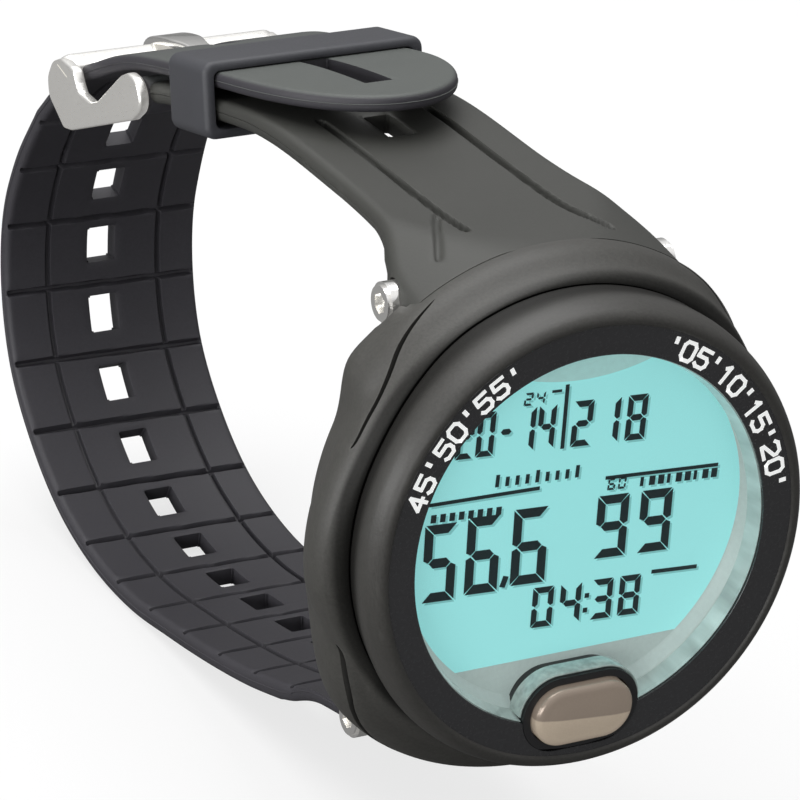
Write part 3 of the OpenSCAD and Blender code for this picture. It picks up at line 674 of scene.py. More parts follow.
# (degrees from the X axis, depth taken off the round case)
TRIM_UPPER = [(0, -0.5), (5, -0.25), (12, 0.2), (20, 0.6), (27, 0.75), (34, 0.6), (42, 0.3),
              (52, 0)]
TRIM_LOWER = [(0, -0.5), (5, -0.7), (10, -0.8), (16, -0.6), (22, -0.25), (28, 0)]
SIDE_HEIGHTS = [0.4, 0.55, 0.8, 1.3, 2, 2.8, 3.6, 4.4, 5.2, 6, 6.8, 7.6, 8.4, 9.1, 9.7, 10.3,
                10.8, 11.3, 11.8, 12.3, 12.7, 13.1, 13.4]
# (radius, height) of the inside, front to back
CASE_INSIDE = [(25.2, 14.2), (25.2, 18.4), (24.3, 18.4), (24.3, 17.6), (23.1, 17.6),
               (23.1, 9.4), (16.9, 9.4), (16.9, 1.7), (20.5, 1.7), (20.5, 0.5), (20.6, 0.4)]
# (angle, height) along the upper left slit
SLIT_UPPER = [(120.1, 9.7), (124.7, 10.25), (129, 10.7), (133.5, 11.2), (138.4, 11.9),
              (143.5, 12.4), (148.9, 12.5), (154.3, 12.5), (156.4, 12.3)]
# angle sum that carries the upper slit's inner end to 205 degrees
SLIT_LOWER = [(205 + 156.4 - a, h) for a, h in SLIT_UPPER]


def case_radius(angle, height):
    degrees = math.degrees(angle)
    bearing = abs((degrees + 90) % 180 - 90)
    lower = degrees % 360 > 180
    upper = math.sin(angle) > 0       # at angle 0 neither is set
    outline = OUTLINE_LOWER if lower else OUTLINE_UPPER
    outer = sum(lookup(abs(bearing + o), outline) for o in (-3, -1.5, 0, 1.5, 3)) / 5
    outer -= lookup(height, DROP_LOWER if lower else DROP_UPPER)
    start, end = (24, 40) if upper else (2, 12)
    outer -= 1.3 * (1 - smoothstep(start, end, bearing))
    trim = lookup(bearing, TRIM_UPPER if upper else TRIM_LOWER)
    side = lookup(height, CASE_SIDE) - trim * smoothstep(5, 8, height)
    swell = 0.0
    if upper:
        swell = 0.95 * math.exp(-((bearing - 39) / 6.5) ** 2 - ((height - 5.5) / 2.6) ** 2)
    return float(smooth_max(side, outer, 0.4) + swell)


def case_profile(angle):
    foot = waist_radius(angle) + 0.12
    edge = case_radius(angle, 13.5)
    ledge = [(edge + (foot - edge) * f, 13.5 + 1.15 * math.sin(f * math.pi / 2))
             for f in (0.06, 0.16, 0.32, 0.55, 0.8, 1.0)]
    side = [(case_radius(angle, h), h) for h in SIDE_HEIGHTS]
    return side + ledge + [(foot - 0.07, 14.55), (foot - 0.12, 14.2)] + CASE_INSIDE


def slit_cut(stations, half_width=0.27, depth=0.85):
    """Cutter for a tapered slit through (angle, height) stations on the case's side."""
    points = []
    for degrees, h in stations:
        a = math.radians(degrees)
        r = case_radius(a, h) - 0.02
        points.append((r * math.cos(a), -h, r * math.sin(a)))
    curve = catmull_rom(points, 4)
    last = len(curve) - 1
    rings = []
    for i, point in enumerate(curve):
        along = curve[min(i + 1, last)] - curve[max(i - 1, 0)]
        along /= np.linalg.norm(along)
        radial = np.array([point[0], 0, point[2]])
        radial /= np.linalg.norm(radial)
        across = np.cross(along, radial)
        across /= np.linalg.norm(across)
        taper = math.sin(math.pi * i / last) ** 0.45 if 0 < i < last else 0.05
        rings.append([point + across * (half_width * taper * math.cos(q))
                      + radial * (depth * taper * math.sin(q))
                      for q in np.linspace(0, 2 * math.pi, 13)[:-1]])
    return cutter(loft(rings))


def bay_cuts(side, lug, clearance, z_range):
    """Room for a strap end: a bay each side of the centre lug and the space beyond."""
    cuts = []
    _, y, z = lug
    z0, z1 = (z - clearance, 60) if side > 0 else (-60, z + clearance)
    for x0, x1, rod_x0, rod_x1 in (
            (LUG_HALF_WIDTH, BAY_HALF_WIDTH, LUG_HALF_WIDTH, 40),
            (-BAY_HALF_WIDTH, -LUG_HALF_WIDTH, -40, -LUG_HALF_WIDTH)):
        cuts.append(box_cut(x0, x1, y - clearance, 40, z0, z1))
        cuts.append(rod_cut(2.75, rod_x0, rod_x1, y, z))
    cuts.append(box_cut(-BAY_HALF_WIDTH, BAY_HALF_WIDTH, STRAP_FRONT_Y, 60, *z_range))
    return cuts


def build_case():
    case = solid("case_shell", sweep_face(case_profile, 288), CASE,
                 ("case_body",), angle=38)
    cuts = []
    for mirrored in (False, True):
        for stations in (SLIT_UPPER, SLIT_LOWER):
            cuts.append(slit_cut([(180 - a if mirrored else a, h) for a, h in stations]))
    cuts += bay_cuts(1, UPPER_LUG, clearance=4.25, z_range=(26.55, 66))
    cuts += bay_cuts(-1, LOWER_LUG, clearance=3.75, z_range=(-68, -28.2))
    carve(case, cuts, angle=38)


def build_lug_block(name, side, lug):
    """Centre lug, a (y, z) outline run across the case."""
    _, y, z = lug
    outline = rounded([(y - 2.6, side * 18), (-0.7, side * 18), (-0.7, z + side * 0.3),
                       (y - 2.6, z + side * 1.6)], [0, 0.3, 1.4, 1.2], 6)
    shape = plate(outline, pillow(-LUG_HALF_WIDTH, LUG_HALF_WIDTH, 0.35, 3),
                  lambda u, v, x: (x, u, v))
    solid(name, shape, CASE, angle=32)


build_case()
build_lug_block("lug_block_upper", 1, UPPER_LUG)
build_lug_block("lug_block_lower", -1, LOWER_LUG)

# ------------------------------------------------------------------ bezel and printed ring
# (radius, height) over the bezel's crown
BEZEL_CROWN = [(27.55, 19.5), (27.25, 20.5), (26.95, 21.12), (26.6, 21.52), (26.2, 21.74),
               (25.8, 21.76), (25.5, 21.55)]


def bezel_profile(angle):
    offset, waist = rim_offset(angle, OUTER_RIM), waist_radius(angle)
    flare = 27.75 + offset - waist
    foot = [(waist - 0.25, 14.85), (waist, 14.9), (waist + 0.1, 15.2),
            (waist + 0.45 * flare, 16.6), (waist + 0.85 * flare, 18.1)]
    outside = catmull_rom(foot + [(r + offset, h) for r, h in BEZEL_CROWN], 4)
    return [*outside, (25.5 + offset, 20.0), (25.8 + offset, 19.9),
            (min(25.8 + offset, waist - 0.5), 15.2)]


def face_ring_profile(angle):
    inner = RING_INNER_RADIUS + rim_offset(angle, INNER_RIM)
    outer = 25.62 + rim_offset(angle, OUTER_RIM)
    middle = (inner + outer) / 2
    top, bottom = RING_HEIGHT, RING_HEIGHT - 0.3
    return [(inner + 0.03, bottom), (inner, top - 0.26), (inner, top - 0.03),
            (inner + 0.03, top), (middle, top), (outer, top), (outer, bottom),
            (middle, bottom)]


solid("bezel", sweep_face(bezel_profile, 288), BEZEL, ("bezel_ring",))
face_ring = solid("face_ring", sweep_face(face_ring_profile, 256), PRINT,
                  ("dial_ring",))
carve(face_ring, [button_cut(4.55, 15, 26)])

# ------------------------------------------------------------------ strap helpers


class Path:
    """Curve in the (y, z) plane, read by distance along it."""

    def __init__(self, curve):
        self.curve = np.asarray(curve)
        steps = np.linalg.norm(np.diff(self.curve, axis=0), axis=1)
        self.stations = np.concatenate([[0], np.cumsum(steps)])
        t = np.gradient(self.curve, self.stations, axis=0)
        for c in range(2):
            t[1:-1, c] = np.convolve(t[:, c], np.array([1, 2, 1]) / 4, "valid")
        self.tangents = t / np.linalg.norm(t, axis=1)[:, None]
        self.length = self.stations[-1]

    def at(self, s):
        """Points and unit normals at distances s."""
        points, t = (np.stack([np.interp(s, self.stations, table[:, c]) for c in range(2)], -1)
                     for table in (self.curve, self.tangents))
        t /= np.linalg.norm(t, axis=-1, keepdims=True)
        return points, np.stack([-t[..., 1], t[..., 0]], -1)

    def yz(self, s):
        points = self.at(s)[0]
        return points[..., 0], points[..., 1]

    def station_at_y(self, y, reach):
        """Distance at which the path, within reach of its start, comes to y."""
        s = np.linspace(0, reach, 800)
        return float(np.interp(y, self.yz(s)[0], s))


def sheet(name, path, rows, columns, nominal, half_width, outer, inner, holes, mat, replaces):
    """Closed strap on a grid of rows along the path and columns across it.

    half_width(s) scales the columns, laid out for the nominal half width; outer and inner
    give the faces' distances from the path; holes are (start, end, half width, corner). A
    mould line stands out halfway up the outside walls."""
    core = 3.0                        # half width of the middle, scaled on its own
    mould_line = 0.09
    widths = half_width(rows)
    inner_width = np.minimum(core, 0.5 * widths)
    ax = np.abs(columns)[None, :]
    across = np.where(
        ax <= core, ax * (inner_width / core)[:, None],
        inner_width[:, None] + (ax - core) * ((widths - inner_width) / (nominal - core))[:, None])
    x = across * np.sign(columns)[None, :]
    points, normals = path.at(rows)
    s = np.repeat(rows[:, None], len(columns), 1)

    def surface(distance):
        yz = points[:, None, :] + normals[:, None, :] * distance[..., None]
        return np.stack([x, yz[..., 0], yz[..., 1]], -1).reshape(-1, 3)
    top, bottom = surface(outer(s, x)), surface(inner(s, x))
    n_rows, n_columns = len(rows), len(columns)

    faces = []
    for i in range(n_rows - 1):
        sm = (rows[i] + rows[i + 1]) / 2
        for j in range(n_columns - 1):
            xm = (columns[j] + columns[j + 1]) / 2
            cells = [(i, j), (i + 1, j), (i + 1, j + 1), (i, j + 1)]
            quad = [a * n_columns + b for a, b in cells]
            hole = next((h for h in holes if h[0] < sm < h[1] and abs(xm) < h[2]), None)
            if hole is None:
                faces.append(quad)
                continue
            start, end, half, corner = hole
            if min(sm - start, end - sm) < corner and half - abs(xm) < corner:
                # keep the outer triangle of the hole's corner
                kept = (i + (0 if sm - start < end - sm else 1), j + (0 if xm < 0 else 1))
                k = cells.index(kept)
                faces.append([quad[(k - 1) % 4], quad[k], quad[(k + 1) % 4]])

    # a dict, so the border edges keep their order
    edges = dict.fromkeys((a, b) for f in faces for a, b in zip(f, f[1:] + f[:1]))
    border = [(a, b) for a, b in edges if (b, a) not in edges]
    count = n_rows * n_columns
    vertices = [tuple(v) for v in top] + [tuple(v) for v in bottom]
    solid_faces = [tuple(f) for f in faces] + [tuple(count + v for v in reversed(f))
                                               for f in faces]
    outwards = {}
    for a, b in border:
        out = np.cross(top[b] - top[a], top[a] - bottom[a])
        length = np.linalg.norm(out)
        if length > 1e-9:
            for v in (a, b):
                outwards.setdefault(v, []).append(out / length)
    walls = {}

    def wall(v):
        """Vertex indices down the side wall at border vertex v."""
        if v not in walls:
            out = np.mean(outwards.get(v, [np.zeros(3)]), 0)
            length = np.linalg.norm(out)
            out = out / length if length > 1e-6 else out
            outside = v % n_columns in (0, n_columns - 1) or v // n_columns in (0, n_rows - 1)
            walls[v] = [v]
            for level in (0.5 - 0.09, 0.5, 0.5 + 0.09):
                ridge = out * mould_line if level == 0.5 and outside else 0
                vertices.append(tuple(top[v] * (1 - level) + bottom[v] * level + ridge))
                walls[v].append(len(vertices) - 1)
            walls[v].append(count + v)
        return walls[v]
    for a, b in border:
        wall_a, wall_b = wall(a), wall(b)
        for k in range(4):
            solid_faces.append((wall_b[k], wall_a[k], wall_a[k + 1], wall_b[k + 1]))

    used = sorted({v for f in solid_faces for v in f})
    renumber = {v: i for i, v in enumerate(used)}
    shape = ([vertices[v] for v in used],
             [tuple(renumber[v] for v in f) for f in solid_faces])
    return solid(name, shape, mat, replaces, weld=2e-6)


def divide(stops, step):
    """Sorted stops without near repeats, with even divisions no longer than step between."""
    stops = sorted(stops)
    kept = [stops[0]]
    for v in stops[1:]:
        if v - kept[-1] > 0.04:
            kept.append(v)
    grid = [kept[0]]
    for v in kept[1:]:
        start = grid[-1]
        k = int(math.ceil((v - start) / step - 1e-6))
        for i in range(1, k + 1):
            grid.append(start + (v - start) * i / k)
    return np.array(grid)


def sheet_columns(half_width, extra, step):
    """Columns both sides of the middle, close together at the edges."""
    columns = [half_width - d for d in (0, 0.04, 0.12, 0.25, 0.42, 0.65, 0.95, 1.3)]
    columns += [0.45, 0.9, 1.55, 1.75, 1.8, 2.0, 2.25]
    columns += extra
    return divide([-c for c in columns] + [0] + columns, step)


def sheet_rows(start, end, step, extra):
    return divide([start, end] + [e for e in extra if start < e < end], step)


def both_sides(values):
    return [-v for v in values] + list(values)


def strap_hole(centre, half_length, half_width):
    return centre - half_length, centre + half_length, half_width, 0.25


def hole_lip(s, x, holes, height):
    """Rise of the raised lip round each hole."""
    gap = np.full(np.shape(s), 9.0)
    for start, end, half, _ in holes:
        dx = np.maximum(np.abs(x) - half, 0)
        ds = np.maximum(np.maximum(start - s, s - end), 0)
        gap = np.minimum(gap, np.hypot(dx, ds))
    return np.where(gap < 0.28, height * (1 - gap / 0.28) ** 2, 0)


def edge_round(distance, radius):
    """Drop of a rounded edge at a distance in from it."""
    distance = np.clip(distance, 0, radius)
    return radius - np.sqrt(np.maximum(radius * radius - (radius - distance) ** 2, 0))


def trench(u, half_width, depth):
    """Depth of a round-bottomed groove."""
    return depth * (1 - smoothstep(0.35 * half_width, half_width, np.abs(u)))


def cone_z(x, y, radius, growth):
    """Height over the middle of a cone about the face axis, which carries on the case."""
    r = radius + (y - STRAP_FRONT_Y) / 28.4 * growth
    return np.sqrt(np.maximum(r * r - x * x, 1))


def knuckle(y, lug, radius):
    """Half chord, along z, of the round end about a lug bar."""
    return np.sqrt(np.maximum(radius ** 2 - (y - lug[1]) ** 2, 0))


def beside_lug(x):
    return smoothstep(LUG_HALF_WIDTH, 9.5, np.abs(x))


def screw_bores(lug):
    return [rod_cut(2.6, 15.4, 22, lug[1], lug[2]), rod_cut(2.6, -22, -15.4, lug[1], lug[2])]


# ------------------------------------------------------------------ lower strap
# (y, z) from the case round the wrist, then the free end lying over the upper strap
LOOP_CURVE = catmull_rom([
    (-8.4, -29.9), (-4, -30.6), (0, -31.55), (5, -32.9), (9.4, -34.3), (13.6, -35.7),
    (18.6, -37.25), (26.2, -39.6), (34.2, -41.8), (44.4, -43.9), (54.9, -45.6), (66, -47),
    (77, -46.5), (87.3, -43.7), (96.2, -38.3), (103.5, -30.7), (107.1, -21.4), (107.5, -11.3),
    (104.2, -1.3), (98.8, 7.2)], 8)
TAIL_CURVE = catmull_rom([
    (98.8, 7.2), (93.8, 12.1), (87.8, 16.4), (82.6, 19.1), (77.3, 21.7), (72.6, 23.6),
    (68.2, 24.95), (61.5, 26.65), (52.85, 28.75), (44.5, 30.7), (37.5, 32.05), (30, 33.25),
    (24.6, 34.1)], 8)
lower_path = Path(np.concatenate([LOOP_CURVE, TAIL_CURVE[1:]]))
TAIL_START = Path(LOOP_CURVE).length
TIP = lower_path.length
TIP_START = TAIL_START + 60.2                 # where the elliptical tip begins
TIP_LENGTH = TIP - TIP_START

LOWER_HOLES = [strap_hole(TAIL_START - 4.8 - STRAP_PITCH * i, 2.6, 2.0) for i in range(12)]
LOWER_HOLES += [strap_hole(TAIL_START + distance, half_length, half_width)
                for distance, half_length, half_width in
                ((6.2, 2.6, 2.0), (27.6, 5.7, 1.8), (43.6, 2.6, 1.8), (64.2, 8.3, 1.8))]
CROSS_GROOVES = [TAIL_START - 0.55 - STRAP_PITCH * i for i in range(14)]
LONG_GROOVES_X = (-7.7, 8.2)
# (station, half width); the first six are at these y
LOWER_WIDTHS = [(lower_path.station_at_y(y, 60), width) for y, width in
                ((-8.4, 16.9), (-2.5, 16.9), (1.5, 15.4), (5.5, 14.2), (10, 13.7), (16, 13.6))]
LUG_END = LOWER_WIDTHS[4][0]
LOWER_WIDTHS += [(TAIL_START - 16, LOOP_HALF_WIDTH), (TAIL_START + 4, STRAP_HALF_WIDTH)]


def lower_half_width(s):
    width = eased(s, LOWER_WIDTHS, (-1.6, -0.8, 0, 0.8, 1.6))
    f = np.clip((s - TIP_START) / TIP_LENGTH, 0, 1)
    return np.maximum(width * np.sqrt(np.maximum(1 - f * f, 0)), 0.05)


def lower_edge(s, x):
    """Distance to the strap's outline, right round the elliptical tip."""
    beyond = np.maximum(s - TIP_START, 0)
    f = np.sqrt((x / STRAP_HALF_WIDTH) ** 2 + (beyond / TIP_LENGTH) ** 2)
    slope = np.sqrt((x / STRAP_HALF_WIDTH ** 2) ** 2 + (beyond / TIP_LENGTH ** 2) ** 2)
    slope = slope / np.maximum(f, 1e-6)
    return np.where(s > TIP_START, np.maximum((1 - f) / np.maximum(slope, 1e-6), 0),
                    lower_half_width(s) - np.abs(x))


def lower_face(s, lug, loop, tail):
    """Distance from the path, eased from the lug to the loop to the free end."""
    k = smoothstep(LUG_END, LUG_END + 9, s)
    t = smoothstep(TAIL_START - 12, TAIL_START + 4, s)
    return (lug * (1 - k) + loop * k) * (1 - t) + tail * t


def lower_outer(s, x):
    d = lower_face(s, lug=-1.4, loop=-0.95, tail=-1.0)
    points, normals = lower_path.at(s)
    y, z = points[..., 0], points[..., 1]
    # near the case the outer face follows its roundness
    to_cone = (-cone_z(x, y, 33.3, 5.9) - z) / np.maximum(normals[..., 1], 0.3)
    near = 1 - smoothstep(14, 24, y)
    d = np.where((y < 24) & (s < TAIL_START * 0.5),
                 smooth_max(d, to_cone * near + d * (1 - near), 0.5), d)
    return d + edge_round(lower_edge(s, x), 0.75) + hole_lip(s, x, LOWER_HOLES, 0.1)


def lower_inner(s, x):
    d = lower_face(s, lug=1.2, loop=1.45, tail=1.0)
    y, z = lower_path.yz(s)
    round_end = knuckle(y, LOWER_LUG, 3.5) + LOWER_LUG[2] - z
    d = np.where((y < 4) & (s < 30), np.maximum(d, round_end * beside_lug(x)), d)
    d = np.where(s < 30, np.maximum(d, lower_outer(s, x) + 1.5), d)
    edge = lower_edge(s, x)
    # grooves between moulded ribs, on the face against the wrist
    on_loop = smoothstep(16, 20, s) * (1 - smoothstep(TAIL_START + 12, TAIL_START + 14, s))
    groove = np.zeros_like(s)
    for centre in CROSS_GROOVES:
        depth = trench(s - centre + 0.027 * x, 0.52, 0.95) * smoothstep(0.15, 0.5, edge)
        groove = np.maximum(groove, depth)
    for centre in LONG_GROOVES_X:
        groove = np.maximum(groove, trench(x - centre, 0.42, 0.7))
    return (d - groove * on_loop - edge_round(edge, 0.75)
            - hole_lip(s, x, LOWER_HOLES, 0.1))


def build_lower_strap():
    stops = [0.3, 0.7, 1.2]
    for start, end, _, corner in LOWER_HOLES:
        stops += [hole_end + o for hole_end in (start, end) for o in (-corner, 0, corner)]
    for centre in CROSS_GROOVES:
        stops += [centre + o for o in [0] + both_sides((0.15, 0.3, 0.45, 0.62, 0.8, 1.0))]
    stops += [TIP - d for d in (0.03, 0.1, 0.25, 0.45, 0.7, 1.0, 1.4, 1.9, 2.5, 3.2, 4)]
    rows = sheet_rows(0, TIP - 0.02, 1.0, stops)
    extra = [6.9, 7.1, 8.8, 9.0, LUG_HALF_WIDTH, 9.5]
    extra += [abs(centre) + o for centre in LONG_GROOVES_X for o in (-0.42, -0.2, 0, 0.2, 0.42)]
    columns = sheet_columns(LOOP_HALF_WIDTH, extra, 1.0)
    strap = sheet("strap_lower", lower_path, rows, columns, LOOP_HALF_WIDTH, lower_half_width,
                  lower_outer, lower_inner, LOWER_HOLES, STRAP, ("lower_strap",))
    carve(strap, screw_bores(LOWER_LUG))


build_lower_strap()

# ------------------------------------------------------------------ upper strap
# (y, z) from the case to the buckle's pivot
upper_path = Path(catmull_rom([
    (-8.4, 28.35), (-3, 28.1), (5, 27.7), (17, 27.85), (30, 28.1), (38, 27.7), (44.5, 26.67),
    (52.85, 24.9), (61.5, 23.07), (66.2, 21.7), (68.2, 20.9)], 8))


def upper_station(y):
    return upper_path.station_at_y(y, upper_path.length)


UPPER_HOLES = [strap_hole(38.2, 3.3, 1.7)]
# (station, half width), the stations given by y
UPPER_WIDTHS = [(upper_station(y), width) for y, width in
                ((-8.4, 16.9), (-2.5, 16.6), (1.5, 14.9), (5.5, 13.7), (10, 13.15),
                 (16, 12.85))]
UPPER_GROOVES_Y = [14 + 8 * k for k in range(7)]
# (x, y) lines of the two channels and of the short curved groove
CHANNEL_LEFT = np.array([(-6.9, -1.2), (-6.95, 33.0)])
CHANNEL_RIGHT = catmull_rom([(8.9, -5.2), (8.0, -3.6), (7.3, -1.4), (7.0, 2.5), (6.95, 10),
                             (6.95, 33.0)], 5)
CURVED_GROOVE = catmull_rom([(-7.7, 3.7), (-8.9, 1.6), (-10.4, -1.5), (-11.9, -4.5)], 4)


def upper_half_width(s):
    return eased(s, UPPER_WIDTHS, (-2, -1, 0, 1, 2))


def line_distance(x, y, line):
    nearest = np.full(np.shape(x), 1e3)
    for a, b in zip(line[:-1], line[1:]):
        v = b - a
        t = np.clip(((x - a[0]) * v[0] + (y - a[1]) * v[1]) / (v @ v), 0, 1)
        nearest = np.minimum(nearest, np.hypot(x - a[0] - t * v[0], y - a[1] - t * v[1]))
    return nearest


def upper_outer(s, x):
    y, z = upper_path.yz(s)
    flat = 1.5 - 0.05 * smoothstep(8, 16, y)
    d = np.where(y < 26, smooth_min(flat, cone_z(x, y, 30, 4.6) - z, 0.7), flat)
    channel = np.minimum(line_distance(x, y, CHANNEL_LEFT), line_distance(x, y, CHANNEL_RIGHT))
    groove = 0.8 * (1 - smoothstep(0.30, 0.70, channel))
    curved = line_distance(x, y, CURVED_GROOVE)
    groove = np.maximum(groove, 0.45 * (1 - smoothstep(0.18, 0.62, curved)))
    edge = upper_half_width(s) - np.abs(x)
    return d - groove - edge_round(edge, 1.0) - hole_lip(s, x, UPPER_HOLES, 0.16)


def upper_inner(s, x):
    y, z = upper_path.yz(s)
    d = np.full(np.shape(s), -1.15)
    round_end = UPPER_LUG[2] - knuckle(y, UPPER_LUG, 4) - z
    side = beside_lug(x)
    d = np.where(np.abs(y - UPPER_LUG[1]) < 4,
                 np.minimum(d, round_end * side + d * (1 - side)), d)
    d = np.where(y < 26, np.minimum(d, upper_outer(s, x) - 2.0), d)
    edge = upper_half_width(s) - np.abs(x)
    groove = np.zeros_like(s)
    for centre in UPPER_GROOVES_Y:
        depth = trench(y - centre, 0.5, 0.45) * smoothstep(0.9, 1.5, edge)
        groove = np.maximum(groove, depth)
    return d + groove + edge_round(edge, 1.0) * (y > 3) + hole_lip(s, x, UPPER_HOLES, 0.16)


def build_upper_strap():
    start, end = UPPER_HOLES[0][:2]
    stops = [start, end, start - 0.3, end + 0.3, start + 0.25, end - 0.25, 0.25, 0.6, 1.0]
    stops += [upper_station(y) for y in (-7.2, -7.05, -6.9, 0.7, 0.85, 1.0)]
    for y in UPPER_GROOVES_Y:
        stops += [upper_station(y) + o for o in both_sides((0.12, 0.3, 0.5))]
    rows = sheet_rows(0, upper_station(66.4), 0.5, stops)
    extra = [1.7, 1.45, LUG_HALF_WIDTH, 9.35]
    extra += [4.9 + 0.12 * k for k in range(27)] + [8.3 + 0.16 * k for k in range(10)]
    columns = sheet_columns(STRAP_HALF_WIDTH, extra, 0.36)
    strap = sheet("strap_upper", upper_path, rows, columns, STRAP_HALF_WIDTH, upper_half_width,
                  upper_outer, upper_inner, UPPER_HOLES, STRAP_UPPER, ("upper_strap",))
    tongue_gap = box_cut(-2.7, 2.7, 63.9, 74, 15, 27)
    carve(strap, screw_bores(UPPER_LUG) + [tongue_gap])


def build_strap_roll(name, x0, x1):
    """Rolled end that wraps the buckle's pivot bar, on one side of the tongue."""
    profile = [(x0, 2.0), (x0 + 0.08, 2.15), (x0 + 0.3, 2.3), (x1 - 0.3, 2.3),
               (x1 - 0.08, 2.15), (x1, 2.0), (x1, 1.32), (x0, 1.32)]
    solid(name, pivot_tube(profile, 48), STRAP)


build_upper_strap()
build_strap_roll("strap_roll_left", -STRAP_HALF_WIDTH, -2.75)
build_strap_roll("strap_roll_right", 2.75, STRAP_HALF_WIDTH)

# ------------------------------------------------------------------ keeper


def rectangle(half_u, half_v):
    return [(-half_u, -half_v), (half_u, -half_v), (half_u, half_v), (-half_u, half_v)]


def build_keeper():
    """Band round both straps, tilted to lie along them."""
    centre_y, centre_z = 52.85, 26.48
    tilt = math.radians(-11.97)
    half_length, rim = 5.05, 0.7
    outside = rounded(rectangle(14.6, 4.65), 1.5, 8)
    opening = rounded(rectangle(13.15, 3.4), 0.8, 8)

    def ring(outline, along, distance):
        return [(u, centre_y + along * math.cos(tilt) - v * math.sin(tilt),
                 centre_z + along * math.sin(tilt) + v * math.cos(tilt))
                for u, v in inset(outline, distance)]
    arc = [math.pi / 2 * q / 5 for q in range(6)]
    arc = [(half_length - rim * (1 - math.sin(a)), rim * (1 - math.cos(a))) for a in arc]
    rounding = [(y, d) for y, d in
                ((half_length - rim + (y - half_length + rim), d) for y, d in arc)]
    rounding = [(half_length - rim * (1 - math.sin(math.pi / 2 * q / 5)),
                 rim * (1 - math.cos(math.pi / 2 * q / 5))) for q in range(6)]
    rounding = [(2 * half_length - rim - y, d) for y, d in reversed(rounding)][::-1]
    # (distance along the strap, inset) from the full band to its end face
    rounding = [(half_length - rim * (1 - math.sin(a)), rim * (1 - math.cos(a)))
                for a in (math.pi / 2 * q / 5 for q in range(6))]
    rings = [ring(outside, -y, d) for y, d in reversed(rounding)]
    rings += [ring(outside, y, d) for y, d in rounding]
    mouth = [(half_length, -0.35), (half_length - 0.1, -0.12), (half_length - 0.35, 0)]
    rings += [ring(opening, y, d) for y, d in mouth]
    rings += [ring(opening, -y, d) for y, d in reversed(mouth)]
    solid("strap_keeper", loft(rings, loop=True), KEEPER, ("keeper",),
          body="keeper")


build_keeper()

# ------------------------------------------------------------------ buckle
# (y, z, corner radius) round a side arm
BUCKLE_ARM = [(92.1, 15.3, 2.2), (91.5, 12.8, 2.0), (86.8, 10.15, 0.9), (84.7, 10.6, 0.9),
              (67.2, 18.3, 1.6), (65.0, 20.2, 2.4), (65.0, 22.2, 2.4), (66.6, 23.8, 2.2),
              (68.8, 23.9, 2.2), (70.8, 22.8, 2.0), (77.2, 17.2, 1.6), (79.2, 16.3, 1.4),
              (82.3, 16.4, 0.9), (83.3, 17.4, 1.0), (84.2, 18.7, 0.8), (85.2, 18.9, 1.0),
              (88.2, 19.0, 2.4), (90.8, 17.7, 2.4)]
BUCKLE_HALF_WIDTH = 14.9
# (y, z) along the tongue from the pivot
TONGUE_CURVE = [(69.6, 20.9), (72, 20.6), (74.6, 20.6), (77.6, 21.2), (80.6, 21.4),
                (84.2, 20.9), (87.6, 20.0), (90.0, 18.9), (91.2, 17.3)]


def build_buckle_plates():
    outline = rounded([(y, z) for y, z, _ in BUCKLE_ARM], [r for _, _, r in BUCKLE_ARM], 5)
    levels = pillow(13.5, BUCKLE_HALF_WIDTH, 0.38, 4)
    arms = [plate(outline, levels, lambda u, v, x: (side * x, u, v)) for side in (-1, 1)]
    solid("buckle_plates", join(arms), SATIN, ("buckle_frame",),
          body="buckle_frame")


def build_buckle_end_bar():
    """Bar joining the arms at their far end; its ends curve down."""
    bar_y, bar_z = 87.5, 18.3
    end_radius = 1.5
    tilt_cos, tilt_sin = 0.97, 0.22
    section = rounded(rectangle(1.6, 0.75), [0.6, 0.6, 0.7, 0.7], 5) * [-1, 1]
    right = [12.0, 13.2, 13.6, 14.0, 14.4, 14.7, 14.86, BUCKLE_HALF_WIDTH]
    rings = []
    for x in [-r for r in reversed(right)] + [0.0] + right:
        e = max(0.0, abs(x) - (BUCKLE_HALF_WIDTH - end_radius))
        drop = end_radius - math.sqrt(max(0.0, end_radius * end_radius - e * e))
        rings.append([(x, bar_y + u * tilt_cos - v * tilt_sin,
                       bar_z + v * tilt_cos + u * tilt_sin - drop * (0.5 + v / 1.7))
                      for u, v in section])
    solid("buckle_end_bar", loft(rings), SATIN, body="buckle_frame")


def build_tongue():
    path = Path(catmull_rom(TONGUE_CURVE, 6))
    length = path.length
    nose = 1.2                        # length of the rounded end
    rings = []
    for s in [*np.linspace(0, length - nose, 44),
              *(length - np.array([0.9, 0.6, 0.3, 0.1, 0.0]))]:
        (y, z), (normal_y, normal_z) = path.at(s)
        e = max(0.0, 1 - max(0, s - (length - nose)) / nose)
        taper = math.sqrt(max(0, 1 - (1 - e) ** 2))
        half_width = 1.55 + 0.65 * float(smoothstep(0.45 * length, 0.62 * length, s))
        section = rounded(rectangle(half_width * (0.55 + 0.45 * taper),
                                    0.55 * (0.35 + 0.65 * taper)), 0.32, 4)
        rings.append([(u, y + normal_y * v, z + normal_z * v) for u, v in section])
    eye = pivot_tube([(-2.3, 1.38), (-2.3, 2.0), (-2.1, 2.25), (2.1, 2.25), (2.3, 2.0),
                      (2.3, 1.38)], 36)
    solid("tongue", join([loft(rings), eye]), BRIGHT, ("buckle_tongue",),
          body="buckle_tongue")


build_buckle_plates()
build_buckle_end_bar()
build_tongue()

# ------------------------------------------------------------------ button


